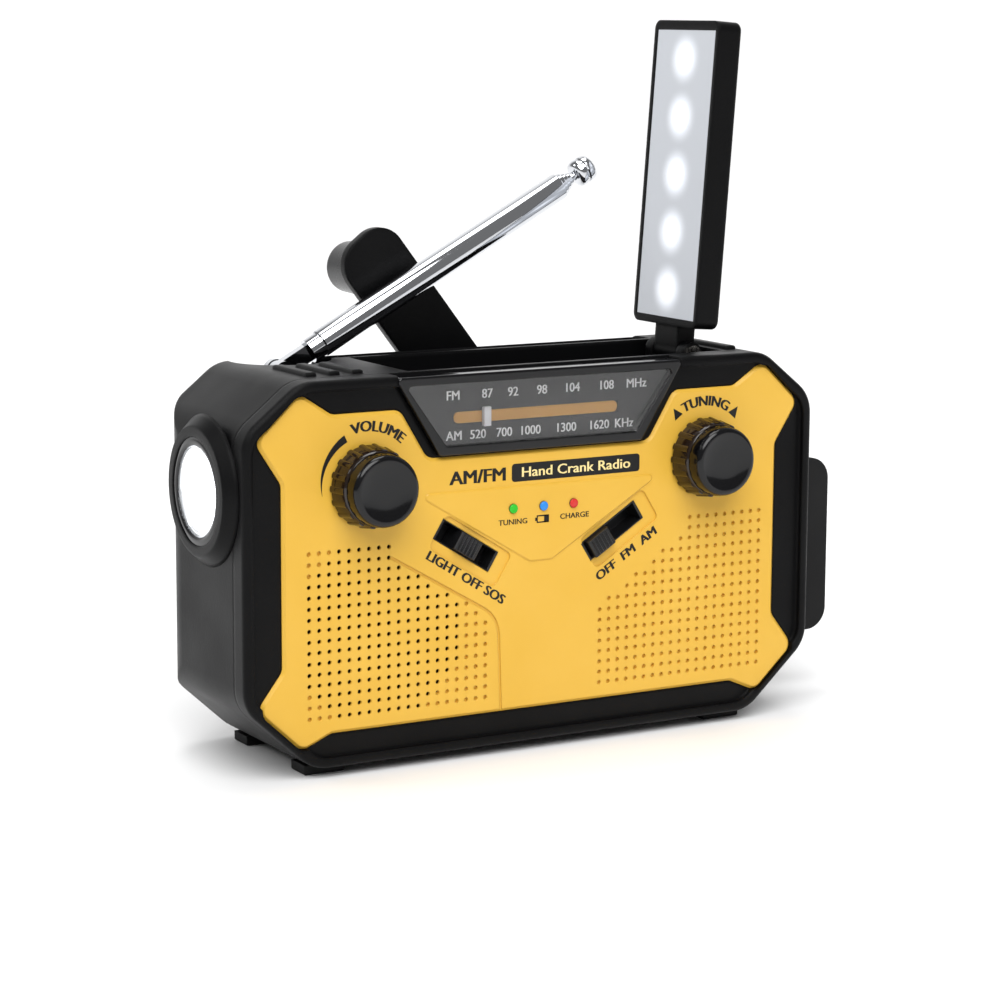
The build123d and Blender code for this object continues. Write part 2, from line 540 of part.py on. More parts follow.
def make_batteries():
    put("lithium_cell", rod_x(PACK_Y, 15.0, PACK_R, -50, -50 + PACK_L))
    pitch = (DOOR_Z1 - DOOR_Z0 - 4) / 3
    cells = []
    springs = []
    for count in range(3):
        z = DOOR_Z0 + 2 + pitch * (count + 0.5)
        y = BAY_Y + CELL_R + 0.2
        x0 = DOOR_X0 + 5.6
        cells.append(rod_x(y, z, CELL_R, x0, x0 + CELL_L))
        springs.append(box(DOOR_X0 + 2, DOOR_X0 + 2.6, BAY_Y, BAY_Y + 9, z - 4.5, z + 4.5))
        springs.append(box(DOOR_X1 - 2.6, DOOR_X1 - 2, BAY_Y, BAY_Y + 9, z - 4.5, z + 4.5))
        springs.append(rod_x(y, z, 3.4, DOOR_X0 + 2.6, x0, 1.6))
    put("dry_cells", Compound(cells))
    put("battery_contacts", Compound(springs))
    # the door's lower edge is round, and it turns about the middle of that edge
    edge_r = DOOR_T / 2
    hinge_y, hinge_z = BACK - 0.1 - edge_r, DOOR_Z0 + 0.3 + edge_r
    door = box(DOOR_X0 + 0.3, DOOR_X1 - 0.3, hinge_y - edge_r, hinge_y + edge_r, hinge_z, DOOR_Z1 - 0.3)
    door = door + rod_x(hinge_y, hinge_z, edge_r, DOOR_X0 + 0.3, DOOR_X1 - 0.3)
    rib = box(-46, -26, BACK - 0.3, BACK + 0.4, DOOR_Z1 - 6, DOOR_Z1 - 5)
    ribs = [Pos(0, 0, -1.8 * count) * rib for count in range(3)]
    hook = box(-40, -32, BACK - 4.0, BACK - DOOR_T, DOOR_Z1 - 3.6, DOOR_Z1 - 2.4)
    put("battery_door", door + ribs + hook)


# ---------------------------------------------------------------- crank and dynamo
def gear(teeth, y0, y1, bore):
    """A spur gear at the origin: straight-sided teeth, thinned for backlash."""
    pitch_r = GEAR_MODULE * teeth / 2
    tip_r, root_r = pitch_r + 0.8 * GEAR_MODULE, pitch_r - 1.1 * GEAR_MODULE
    step = 2 * math.pi / teeth
    points = []
    for count in range(teeth):
        for radius, share in ((root_r, -0.36), (tip_r, -0.13), (tip_r, 0.13), (root_r, 0.36)):
            angle = step * (count + share)
            points.append((radius * math.cos(angle), radius * math.sin(angle)))
    blank = slab(points, y0, y1)
    return blank - rod_y(0, 0, bore, y0 - 1, y1 + 1)


def polar(x, z, distance, degrees):
    """A point at a distance and direction in the XZ plane."""
    turn = math.radians(degrees)
    return x + distance * math.cos(turn), z + distance * math.sin(turn)


def make_crank_train():
    plate_y = GEAR_PLATE_Y
    layer_a = (plate_y + 5.2, plate_y + 8.2)
    layer_b = (plate_y + 1.8, plate_y + 4.6)
    reach_a = GEAR_MODULE * (CRANK_TEETH + IDLER_PINION_TEETH) / 2
    reach_b = GEAR_MODULE * (IDLER_TEETH + ROTOR_TEETH) / 2
    idler = polar(CRANK_X, CRANK_Z, reach_a, IDLER_DIRECTION)
    rotor = polar(*idler, reach_b, ROTOR_DIRECTION)

    # each driving gear points a tooth along the line of centres, each driven one a gap
    def placed(centre, turn, shape):
        return Pos(centre[0], 0, centre[1]) * Rot(0, -turn, 0) * shape

    put("crank_gear", placed((CRANK_X, CRANK_Z), IDLER_DIRECTION,
                             gear(CRANK_TEETH, *layer_a, CRANK_SHAFT_R)))
    put("crank_shaft", rod_y(CRANK_X, CRANK_Z, CRANK_SHAFT_R, plate_y - 0.5, ARM_Y + ARM_T))
    pinion = gear(IDLER_PINION_TEETH, layer_b[1], layer_a[1], 1.5 + RUN)
    half_gap = 180 / IDLER_PINION_TEETH
    wheel = gear(IDLER_TEETH, *layer_b, 1.5 + RUN)
    wheel_turn = ROTOR_DIRECTION
    pinion_turn = IDLER_DIRECTION + 180 + half_gap
    put("idler_gear", placed(idler, wheel_turn, wheel) + placed(idler, pinion_turn, pinion))
    axle = rod_y(*idler, 1.5, plate_y, layer_a[1] + 1.4)
    rotor_turn = ROTOR_DIRECTION + 180 + 180 / ROTOR_TEETH
    spindle = rod_y(*rotor, 1.0, plate_y - DYNAMO_L + 2, layer_b[1] + 0.4)
    put("dynamo_rotor", placed(rotor, rotor_turn, gear(ROTOR_TEETH, *layer_b, 0.9)) + spindle)
    can = rod_y(*rotor, DYNAMO_R, plate_y - DYNAMO_L, plate_y)
    put("dynamo", can - rod_y(*rotor, 1.0 + RUN, plate_y - DYNAMO_L + 1.6, plate_y + 1))
    plate = box(15.6, 57, plate_y, plate_y + 1.4, 14, 77) + box(56, 61.5, plate_y, plate_y + 1.4, 14.2, 50)
    plate = plate - rod_y(CRANK_X, CRANK_Z, CRANK_SHAFT_R + RUN, plate_y - 1, plate_y + 2)
    plate = plate - rod_y(*rotor, 3.0, plate_y - 1, plate_y + 2)
    posts = [rod_y(x, z, 2.2, plate_y + 1.4, BACK - WALL) for x, z in ((18, 74.5), (54, 74), (18, 16.5), (59, 17))]
    put("gearbox_plate", plate + axle + posts)


def make_crank():
    end = polar(CRANK_X, CRANK_Z, CRANK_R, 90 + CRANK_ANGLE)
    arm = box(-ARM_W / 2, ARM_W / 2, ARM_Y, ARM_Y + ARM_T, -ARM_W / 2, CRANK_R + ARM_W / 2 + 2)
    arm = fillet(arm.edges().filter_by(Axis.Y), 7.0)
    arm = fillet(arm.faces().sort_by(Axis.Y)[-1].edges(), 0.8)
    arm = tilted(CRANK_X, CRANK_Z, CRANK_ANGLE, arm)
    arm = arm - rod_y(CRANK_X, CRANK_Z, CRANK_SHAFT_R, ARM_Y - 1, ARM_Y + ARM_T + 1)
    put("crank_arm", arm - rod_y(*end, 2.0, ARM_Y + 1.0, ARM_Y + ARM_T + 1))
    screw = rod_y(CRANK_X, CRANK_Z, 4.6, ARM_Y + ARM_T, ARM_Y + ARM_T + 1.4)
    put("crank_screw", fillet(screw.faces().sort_by(Axis.Y)[-1].edges(), 0.6))
    face = ARM_Y + ARM_T
    pin = rod_y(*end, 2.0, ARM_Y + 1.0, face + GRIP_L - 1.2)
    pin = pin + rod_y(*end, 3.2, face + GRIP_L - 1.2, face + GRIP_L - 0.2)
    put("grip_pin", pin)
    grip = rod_y(*end, GRIP_R, face + FIT, face + GRIP_L, 0.5)
    grip = fillet(grip.faces().sort_by(Axis.Y)[-1].edges(), 1.0)
    grip = grip - rod_y(*end, 2.0 + RUN, face, face + GRIP_L + 1)
    grip = grip - rod_y(*end, 3.4, face + GRIP_L - 1.4, face + GRIP_L + 1)
    put("crank_grip", grip)


# ---------------------------------------------------------------- reading lamp
def lamp_space(shape):
    """A piece drawn upright around the lamp's pivot, leaned back and put in place."""
    return Pos(LAMP_PIVOT_X, LAMP_Y, LAMP_PIVOT_Z) * Rot(0, LAMP_LEAN, 0) * shape


def make_lamp():
    half_t, half_w = LAMP_T / 2, LAMP_W / 2
    low, high = LAMP_RISE, LAMP_RISE + LAMP_L
    shell = box(-half_t, half_t, -half_w, half_w, low, high)
    shell = fillet(shell.edges().filter_by(Axis.X), 2.2)
    shell = fillet(shell.faces().sort_by(Axis.X)[-1].edges(), 0.9)
    light = box(-half_t - 1, -half_t + 3.2, -half_w + 1.4, half_w - 1.4, low + 1.8, high - 2.2)
    cells = box(half_t - 0.9, half_t + 1, -half_w + 2.4, half_w - 2.4, low + 4, high - 4)
    lug = box(-2.4, 2.4, -5.0, 5.0, -0.2, low + 0.4) + rod_y(0, 0, 2.6, -5.0, 5.0)
    shell = shell - light - cells + lug
    pin_bore = rod_y(0, 0, LAMP_PIN_R + RUN, -9, 9)
    put("lamp_housing", lamp_space(shell - pin_bore))
    board = box(-half_t + 2.4, -half_t + 3.2, -half_w + 1.6, half_w - 1.6, low + 2.0, high - 2.4)
    leds = [box(-half_t + 1.5, -half_t + 2.4, -1.4, 1.4, z - 1.4, z + 1.4) for z in lamp_leds()]
    put("lamp_led_board", lamp_space(board + leds))
    put("lamp_diffuser", lamp_space(box(-half_t + 0.1, -half_t + 1.3, -half_w + 1.5, half_w - 1.5,
                                        low + 1.9, high - 2.3)))
    put("solar_panel", lamp_space(box(half_t - 0.9, half_t - 0.1, -half_w + 2.5, half_w - 2.5,
                                      low + 4.1, high - 4.1)))

    pin = rod_y(LAMP_PIVOT_X, LAMP_PIVOT_Z, LAMP_PIN_R, LAMP_Y - 8.1, LAMP_Y + 8.1)
    heads = [rod_y(LAMP_PIVOT_X, LAMP_PIVOT_Z, 2.2, LAMP_Y + y, LAMP_Y + y + 0.9) for y in (-9.0, 8.1)]
    put("lamp_hinge_pin", pin + heads)


def lamp_ears():
    """The two ears of the deck that hold the lamp's hinge pin."""
    ears = []
    for y0 in (LAMP_Y - 8.1, LAMP_Y + 5.3):
        ear = rod_y(LAMP_PIVOT_X, LAMP_PIVOT_Z, 2.9, y0, y0 + 2.8)
        ear = ear + box(LAMP_PIVOT_X - 2.9, LAMP_PIVOT_X + 2.9, y0, y0 + 2.8, DECK_Z - 1, LAMP_PIVOT_Z)
        ears.append(ear - rod_y(LAMP_PIVOT_X, LAMP_PIVOT_Z, LAMP_PIN_R, y0 - 1, y0 + 4))
    return ears


def lamp_leds():
    """Heights of the five light-emitting diodes above the pivot."""
    pitch = (LAMP_L - 4) / 5
    return [LAMP_RISE + 1.8 + pitch * (count + 0.5) for count in range(5)]


# ---------------------------------------------------------------- antenna
def antenna_space(shape):
    """A piece drawn level along +X from the pivot, raised to the antenna's angle."""
    return Pos(ANT_X, ANT_Y, ANT_Z) * Rot(0, -ANT_RAISED, 0) * shape


def make_antenna():
    disc_z = CHANNEL_Z + 0.2
    base = rod_z(ANT_X, ANT_Y, 5.8, disc_z, disc_z + 1.2)
    for y in (-3.3, 1.5):
        base = base + box(ANT_X - 2.6, ANT_X + 2.6, ANT_Y + y, ANT_Y + y + 1.8, disc_z + 1.2, ANT_Z)
        base = base + rod_y(ANT_X, ANT_Z, 2.6, ANT_Y + y, ANT_Y + y + 1.8)
    base = base + rod_z(ANT_X, ANT_Y, ANT_STEM_R, CHANNEL_Z - 6.4, disc_z)
    base = base + rod_y(ANT_X, ANT_Z, 1.1, ANT_Y - 3.3, ANT_Y + 3.3)
    put("antenna_base", base + rod_z(ANT_X, ANT_Y, 3.3, CHANNEL_Z - 6.4, CHANNEL_Z - 5.4))

    start = ANT_TONGUE_L
    tongue = box(0, start - 2.0, -1.2, 1.2, -2.0, 2.0) + rod_y(0, 0, 2.4, -1.2, 1.2)
    collar = rod_x(0, 0, ANT_OUTER_R - 0.35, start - 3.4, start)
    knuckle = tongue + collar
    put("antenna_knuckle", antenna_space(knuckle - rod_y(0, 0, 1.1 + RUN, -2, 2)))

    step = ANT_WALL + 0.2
    for count in range(ANT_SECTIONS):
        outer = ANT_OUTER_R - step * count
        end = start + ANT_BARREL + ANT_STEP * count
        begin = start + count
        tube = rod_x(0, 0, outer, begin, end)
        if count < ANT_SECTIONS - 1:
            tube = tube - rod_x(0, 0, outer - ANT_WALL, begin + 0.6, end + 1)
        else:
            tip = rod_x(0, 0, ANT_OUTER_R, end, end + ANT_TIP_L)
            tube = tube + fillet(tip.edges().filter_by(GeomType.CIRCLE), 0.8)
        put("antenna_tube" if count == 0 else f"antenna_section_{count}", antenna_space(tube))


# ---------------------------------------------------------------- flashlight, flap, feet
def make_flashlight():
    face = -SIDE_X - TORCH_PROUD
    flange = rod_x(TORCH_Y, TORCH_Z, TORCH_R, -SIDE_X, face, 2.6)
    spigot = rod_x(TORCH_Y, TORCH_Z, TORCH_SPIGOT_R - 0.05, -SIDE_X + 7, -SIDE_X)
    bowl = rod_x(TORCH_Y, TORCH_Z, TORCH_SPIGOT_R - 1.2, -SIDE_X + 5.8, face - 1)
    seat = rod_x(TORCH_Y, TORCH_Z, TORCH_LENS_R + 0.1, face + 1.8, face - 1)
    hole = rod_x(TORCH_Y, TORCH_Z, 2.6, -SIDE_X + 8, -SIDE_X + 5)
    ring = flange + spigot - bowl - seat - hole
    put("flashlight_bezel", ring)
    put("flashlight_lens", rod_x(TORCH_Y, TORCH_Z, TORCH_LENS_R, face + 0.6, face + 1.8))
    cup = rod_x(TORCH_Y, TORCH_Z, TORCH_SPIGOT_R - 1.25, face + 1.9, -SIDE_X + 5.7, 8.6)
    well = rod_x(TORCH_Y, TORCH_Z, TORCH_SPIGOT_R - 1.75, face + 1.8, -SIDE_X + 5.3, 8.5)
    bulb_hole = rod_x(TORCH_Y, TORCH_Z, 1.9, face, -SIDE_X + 7)
    put("flashlight_reflector", cup - well - bulb_hole)
    led = rod_x(TORCH_Y, TORCH_Z, 1.8, -SIDE_X + 3.4, -SIDE_X + 5.8)
    put("flashlight_led", led + rod_x(TORCH_Y, TORCH_Z, 5.0, -SIDE_X + 7.1, -SIDE_X + 8.3)
        + rod_x(TORCH_Y, TORCH_Z, 1.8, -SIDE_X + 5.8, -SIDE_X + 7.1))


def make_port_flap():
    axis_x = SIDE_X + 1.4
    half = FLAP_T / 2
    flap = box(axis_x, axis_x + FLAP_L, FLAP_Y - half, FLAP_Y + half, FLAP_Z0, FLAP_Z1)
    outer_corners = flap.edges().filter_by(Axis.Y).group_by(Axis.X)[-1]
    flap = fillet(outer_corners, 5.5)
    ends = [box(axis_x - 2, axis_x + 3.2, FLAP_Y - 3, FLAP_Y + 3, z0, z1)
            for z0, z1 in ((FLAP_Z0 - 1, FLAP_Z0 + 4.3), (FLAP_Z1 - 4.3, FLAP_Z1 + 1))]
    flap = flap + rod_z(axis_x, FLAP_Y, half, FLAP_Z0, FLAP_Z1) - ends
    flap = flap + rod_z(axis_x, FLAP_Y, 0.5, FLAP_Z0 + 0.4, FLAP_Z1 - 0.4)
    plug_x = axis_x + FLAP_Y - PORT_Y       # lies in the USB socket when the flap is shut
    plug = box(plug_x - 1.8, plug_x + 1.8, FLAP_Y - 2.6, FLAP_Y - half, USB_Z - 5.4, USB_Z + 5.4)
    put("port_flap", flap + plug)
    strip = box(SIDE_X - 1.5, SIDE_X - 0.2, FLAP_Y - 1.3, FLAP_Y + 1.3, FLAP_Z0, FLAP_Z1)
    for z0 in (FLAP_Z0, FLAP_Z1 - 4.0):
        strip = strip + box(SIDE_X - 0.2, axis_x + 1.3, FLAP_Y - 1.3, FLAP_Y + 1.3, z0, z0 + 4.0)
    strip = strip - rod_z(axis_x, FLAP_Y, 0.5 + RUN, FLAP_Z0 + 0.2, FLAP_Z1 - 0.2)
    put("flap_hinge", strip)


def make_feet_and_screws():
    feet = []
    for x in (-FOOT_X, FOOT_X):
        for y in (FRONT + 7.5, BACK - 8.0):
            foot = box(x - FOOT_R, x + FOOT_R, y - 3.4, y + 3.4, 0, BASE)
            feet.append(fillet(foot.edges().group_by(Axis.Z)[0], 0.6))
    put("rubber_feet", Compound(feet))
    screws = []
    for x, z in screw_places():
        head = rod_y(x, z, SCREW_HEAD_R, BACK - 5, BACK - 3.4)
        screws.append(head + rod_y(x, z, SCREW_R - 0.05, PARTING - 2.5, BACK - 5))
    put("case_screws", Compound(screws))


os.makedirs("parts", exist_ok=True)
make_rear_shell()
make_front_bezel()
make_front_panel()
make_dial()
make_knobs()
make_switches()
make_indicators()
make_speaker()
make_boards()
make_batteries()
make_crank_train()
make_crank()
make_lamp()
make_antenna()
make_flashlight()
make_port_flap()
make_feet_and_screws()
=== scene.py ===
import bpy, bmesh, math
from mathutils import Matrix, Vector


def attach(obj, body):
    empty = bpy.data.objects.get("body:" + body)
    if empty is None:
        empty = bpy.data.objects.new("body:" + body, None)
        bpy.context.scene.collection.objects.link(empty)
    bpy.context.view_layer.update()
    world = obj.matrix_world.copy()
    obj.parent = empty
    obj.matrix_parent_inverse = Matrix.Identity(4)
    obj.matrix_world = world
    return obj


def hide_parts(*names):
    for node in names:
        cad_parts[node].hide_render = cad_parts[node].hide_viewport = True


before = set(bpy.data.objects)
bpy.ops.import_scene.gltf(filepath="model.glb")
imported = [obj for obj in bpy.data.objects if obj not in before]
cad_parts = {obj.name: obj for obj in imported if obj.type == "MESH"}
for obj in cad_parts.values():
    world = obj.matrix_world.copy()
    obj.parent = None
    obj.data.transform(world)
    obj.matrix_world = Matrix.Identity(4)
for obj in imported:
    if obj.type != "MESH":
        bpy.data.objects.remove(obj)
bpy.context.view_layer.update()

# ---- Studio: camera, floor and light ------------------------------------------------------
# A plain white sweep lit from above and the left, as for a catalogue picture.  The camera
# stands low on the radio's left, so the front, the flashlight side and the deck all show.
scene = bpy.context.scene


def linear(hexa, alpha=1.0):
    """An sRGB hex colour as linear RGBA."""
    channels = [int(hexa[place:place + 2], 16) / 255 for place in (1, 3, 5)]
    spread = [c / 12.92 if c <= 0.04045 else ((c + 0.055) / 1.055) ** 2.4 for c in channels]
    return (*spread, alpha)


def add(tree, kind, settings=(), links=(), **sockets):
    """Adds a node: settings are its own values, links are (input, source socket) pairs, and
    the rest are the values of its named inputs."""
    node = tree.nodes.new(kind)
    for key, value in dict(settings).items():
        setattr(node, key, value)
    for name, value in sockets.items():
        node.inputs[name.replace("_", " ")].default_value = value
    for name, source in links:
        tree.links.new(source, node.inputs[name])
    return node


def paint(name):
    """A new material with its node tree cleared; returns (material, tree, shader)."""
    material = bpy.data.materials.new(name)
    material.use_nodes = True
    tree = material.node_tree
    tree.nodes.clear()
    output = tree.nodes.new("ShaderNodeOutputMaterial")
    shader = tree.nodes.new("ShaderNodeBsdfPrincipled")
    tree.links.new(shader.outputs[0], output.inputs["Surface"])
    return material, tree, shader


camera_data = bpy.data.cameras.new("studio_camera")
camera_data.lens = 104.4
camera_data.sensor_width = 36.0
camera_data.clip_start = 0.05
camera = bpy.data.objects.new("studio_camera", camera_data)
scene.collection.objects.link(camera)
look = Vector((0.494, 0.853, -0.1675)).normalized()
side = look.cross(Vector((0.0797, 0.1474, 0.9859))).normalized()
above = side.cross(look)
turn = Matrix((side, above, -look)).transposed().to_4x4()
camera.matrix_world = Matrix.Translation((-0.3385, -0.5887, 0.1709)) @ turn
scene.camera = camera

floor_paper, _, paper_shader = paint("matt_white_paper")
paper_shader.inputs["Base Color"].default_value = linear("#f8f8f8")
paper_shader.inputs["Roughness"].default_value = 0.8
paper_shader.inputs["Specular IOR Level"].default_value = 0.2
sweep = bmesh.new()
reach = 80.0
for x, y in ((-reach, -reach), (reach, -reach), (reach, reach), (-reach, reach)):
    sweep.verts.new((x, y, 0.0))
sweep.faces.new(sweep.verts)
floor_mesh = bpy.data.meshes.new("studio_floor")
sweep.to_mesh(floor_mesh)
sweep.free()
floor_mesh.materials.append(floor_paper)
floor = bpy.data.objects.new("studio_floor", floor_mesh)
scene.collection.objects.link(floor)

# the room is white behind and above the radio and dim in front of it, so that the black
# plastics keep deep reflections
world = bpy.data.worlds.new("studio_air")
world.use_nodes = True
air = world.node_tree
heading = add(air, "ShaderNodeVectorMath", {"operation": "DOT_PRODUCT"},
              [(0, add(air, "ShaderNodeTexCoord").outputs["Generated"])])
heading.inputs[1].default_value = (0.5, 0.86, 0.0)
behind = add(air, "ShaderNodeMapRange", links=[("Value", heading.outputs["Value"])],
             From_Min=0.35, From_Max=0.75, To_Min=0.22, To_Max=1.15)
air.links.new(behind.outputs["Result"], air.nodes["Background"].inputs["Strength"])
air.nodes["Background"].inputs["Color"].default_value = (1.0, 1.0, 1.0, 1.0)
scene.world = world
scene.view_settings.view_transform = "Standard"

sun_data = bpy.data.lights.new("overhead_light", "SUN")
sun_data.energy = 3.0
sun_data.angle = math.radians(50)
sun = bpy.data.objects.new("overhead_light", sun_data)
sun.rotation_euler = Vector((-0.35, -0.75, 0.95)).to_track_quat("Z", "Y").to_euler()
scene.collection.objects.link(sun)


def soft_box(name, place, aim, size, power):
    """A square area lamp at place, pointed at aim."""
    lamp = bpy.data.lights.new(name, "AREA")
    lamp.shape = "SQUARE"
    lamp.size = size
    lamp.energy = power
    thing = bpy.data.objects.new(name, lamp)
    thing.location = place
    thing.rotation_euler = (Vector(aim) - Vector(place)).to_track_quat("-Z", "Y").to_euler()
    scene.collection.objects.link(thing)


soft_box("soft_box_left", (-1.0, 0.35, 0.8), (0.0, 0.0, 0.06), 0.3, 2.0)
soft_box("soft_box_top", (0.05, 0.15, 1.0), (0.0, 0.0, 0.06), 0.45, 2.5)

# ---- Case: rear shell and front bezel ------------------------------------------------------
# Two injection-moulded shells of black ABS, screwed together from behind.  The mould's fine
# spark-eroded grain leaves them satin, and handling polishes them in soft patches.


def moulded(name, colour, rubbed, gloss, grain, depth, edge=0.5, specular=0.35):
    """Moulded plastic with a grain of this size and depth in mm and rounded edges; its colour
    drifts to rubbed in cloudy patches, and the gloss drifts with it."""
    material, tree, shader = paint(name)
    place = add(tree, "ShaderNodeTexCoord").outputs["Object"]
    pits = add(tree, "ShaderNodeTexNoise", links=[("Vector", place)], Scale=1000 / grain, Detail=3.0)
    clouds = add(tree, "ShaderNodeTexNoise", links=[("Vector", place)], Scale=45.0, Detail=6.0)
    handled = add(tree, "ShaderNodeMapRange", links=[("Value", clouds.outputs["Fac"])],
                  From_Min=0.35, From_Max=0.7).outputs["Result"]
    tint = add(tree, "ShaderNodeMixRGB", links=[("Fac", handled)], Color1=linear(colour),
               Color2=linear(rubbed))
    sheen = add(tree, "ShaderNodeMapRange", links=[("Value", handled)], To_Min=gloss + 0.05,
                To_Max=gloss - 0.05)
    corner = add(tree, "ShaderNodeBevel", {"samples": 4}, Radius=edge / 1000)
    relief = add(tree, "ShaderNodeBump", links=[("Height", pits.outputs["Fac"]),
                 ("Normal", corner.outputs[0])], Distance=depth / 1000, Strength=0.6)
    shader.inputs["Specular IOR Level"].default_value = specular
    tree.links.new(tint.outputs["Color"], shader.inputs["Base Color"])
    tree.links.new(sheen.outputs["Result"], shader.inputs["Roughness"])
    tree.links.new(relief.outputs["Normal"], shader.inputs["Normal"])
    return material


def dress(material, *nodes):
    """Gives these nodes of the solid model a material."""
    for node in nodes:
        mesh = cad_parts[node].data
        mesh.materials.clear()
        mesh.materials.append(material)


# satin black ABS: near-black with a broad soft highlight along every edge
black_abs = moulded("satin_black_ABS", "#060607", "#0a0a0b", 0.4, 0.45, 0.05, edge=1.2, specular=0.13)
dress(black_abs, "rear_shell", "front_bezel")

# ---- Front panel ---------------------------------------------------------------------------
# A thin plate of yellow ABS glued to the bezel's floor.  Smooth, half-gloss moulding with a
# faint orange-peel; the grille's holes and dimples are moulded in.
yellow_abs = moulded("half_gloss_yellow_ABS", "#ddae3e", "#e1b345", 0.36, 1.1, 0.03, edge=0.35)
dress(yellow_abs, "front_panel")
# the through holes over the speaker are coloured near-black below the face: painted shade that
# stands in for the dark behind the openings, with no separate lining behind it
SPEAKER_AT = (-0.0416, -0.0227, 0.0328)    # m, the middle of the speaker, at the panel's face
SPEAKER_REACH = 0.0219                      # m, past the outermost through hole
BELOW_FACE = -0.02245                       # m, just behind the panel's face
panel_tree = yellow_abs.node_tree
panel_shader = next(node for node in panel_tree.nodes if node.type == "BSDF_PRINCIPLED")
panel_place = add(panel_tree, "ShaderNodeTexCoord").outputs["Object"]
off_speaker = add(panel_tree, "ShaderNodeVectorMath", {"operation": "DISTANCE"}, [(0, panel_place)])
off_speaker.inputs[1].default_value = SPEAKER_AT
in_field = add(panel_tree, "ShaderNodeMath", {"operation": "LESS_THAN"}, [(0, off_speaker.outputs["Value"])])
in_field.inputs[1].default_value = SPEAKER_REACH
panel_depth = add(panel_tree, "ShaderNodeSeparateXYZ", links=[("Vector", panel_place)])
below_face = add(panel_tree, "ShaderNodeMath", {"operation": "GREATER_THAN"}, [(0, panel_depth.outputs["Y"])])
below_face.inputs[1].default_value = BELOW_FACE
# where the painted shade goes: inside the speaker's field and behind the panel's face
hole_shade_mask = add(panel_tree, "ShaderNodeMath", {"operation": "MULTIPLY"},
              [(0, in_field.outputs[0]), (1, below_face.outputs[0])])
# the painted shade itself: the panel's colour taken to near-black there
hole_painted_shade = add(panel_tree, "ShaderNodeMixRGB", links=[("Fac", hole_shade_mask.outputs[0]),
             ("Color1", panel_shader.inputs["Base Color"].links[0].from_socket)], Color2=linear("#160c06"))
panel_tree.links.new(hole_painted_shade.outputs["Color"], panel_shader.inputs["Base Color"])
PANEL_FACE = -23.0          # mm, the panel's face
MIDDLE_FACE = -23.35        # the raised V between the switches


def finished(name, shape, material, body):
    """Makes a bmesh in millimetres a piece of the radio that rides on a body."""
    mesh = bpy.data.meshes.new(name)
    shape.to_mesh(mesh)
    shape.free()
    return placed(name, mesh, Matrix.Scale(0.001, 4), material, body)


def placed(name, mesh, place, material, body):
    """Puts a mesh in its place and makes it a piece that rides on a body."""
    mesh.transform(place)
    mesh.materials.clear()
    mesh.materials.append(material)
    piece = bpy.data.objects.new(name, mesh)
    scene.collection.objects.link(piece)
    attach(piece, body)
    return piece


def stamp(ink, text, height, x, z, turned=0.0, arc=0.0, face=PANEL_FACE, bold=0.05, wide=1.12):
    """Adds printed words to an ink film: height in mm, centred on x and standing on z, turned
    in degrees, or bent round a circle of radius arc whose middle is at (x, z).  Each word is
    laid down three times, bold times its height apart, for a heavier letter."""
    curve = bpy.data.curves.new("words", "FONT")
    curve.body = text
    curve.align_x = "CENTER"
    curve.extrude = 0.01
    curve.resolution_u = 3
    words = bpy.data.objects.new("words", curve)
    scene.collection.objects.link(words)
    mesh = bpy.data.meshes.new_from_object(words.evaluated_get(bpy.context.evaluated_depsgraph_get()))
    bpy.data.objects.remove(words)
    low = min(v.co.y for v in mesh.vertices)
    scale = height / (max(v.co.y for v in mesh.vertices) - low)
    lean = math.radians(turned)
    for layer, shift in enumerate((-bold * height, 0.0, bold * height)):
        known = len(ink.verts)
        ink.from_mesh(mesh)
        ink.verts.ensure_lookup_table()
        for vertex in ink.verts[known:]:
            u, v = vertex.co.x * scale * wide + shift, (vertex.co.y - low) * scale
            depth = face - (0.04 + 0.006 * layer if vertex.co.z > 0 else 0.0)
            if arc:
                angle = u / (arc + height / 2) + lean
                vertex.co = (x + (arc + v) * math.sin(angle), depth, z + (arc + v) * math.cos(angle))
            else:
                vertex.co = (x + u * math.cos(lean) - v * math.sin(lean), depth,
                             z + u * math.sin(lean) + v * math.cos(lean))


def patch(ink, outline, face=PANEL_FACE, thick=0.04):
    """Adds a printed or moulded patch with this (x, z) outline in mm to a film."""
    ring = [ink.verts.new((x, face - thick, z)) for x, z in outline]
    foot = [ink.verts.new((x, face, z)) for x, z in outline]
    faces = [ink.faces.new(ring), ink.faces.new(list(reversed(foot)))]
    for here in range(len(ring)):
        there = (here + 1) % len(ring)
        faces.append(ink.faces.new((ring[there], ring[here], foot[here], foot[there])))
    bmesh.ops.recalc_face_normals(ink, faces=faces)


def rounded(x0, x1, z0, z1, radius, slope=0.0):
    """The outline of a rounded bar, its right end raised by slope mm."""
    outline = []
    for cx, cz, start in ((x1 - radius, z1 - radius, 0), (x0 + radius, z1 - radius, 90),
                          (x0 + radius, z0 + radius, 180), (x1 - radius, z0 + radius, 270)):
        for step in range(0, 91, 15):
            a = math.radians(start + step)
            x = cx + radius * math.cos(a)
            outline.append((x, cz + radius * math.sin(a) + slope * (x - x0) / (x1 - x0)))
    return outline


# screen-printed ink: flat black, a little thinner than the moulding's grain
black_ink = moulded("screen_printed_black_ink", "#0d0d0d", "#141414", 0.5, 0.4, 0.01, edge=0.01)
pale_ink = moulded("screen_printed_pale_ink", "#f0d890", "#f4dfa0", 0.5, 0.4, 0.01, edge=0.01)
KNOB_X, KNOB_Z = 45.0, 65.8     # knobs' axes
SWITCH_X, SWITCH_Z, SWITCH_TILT = 19.7, 50.0, 32.0

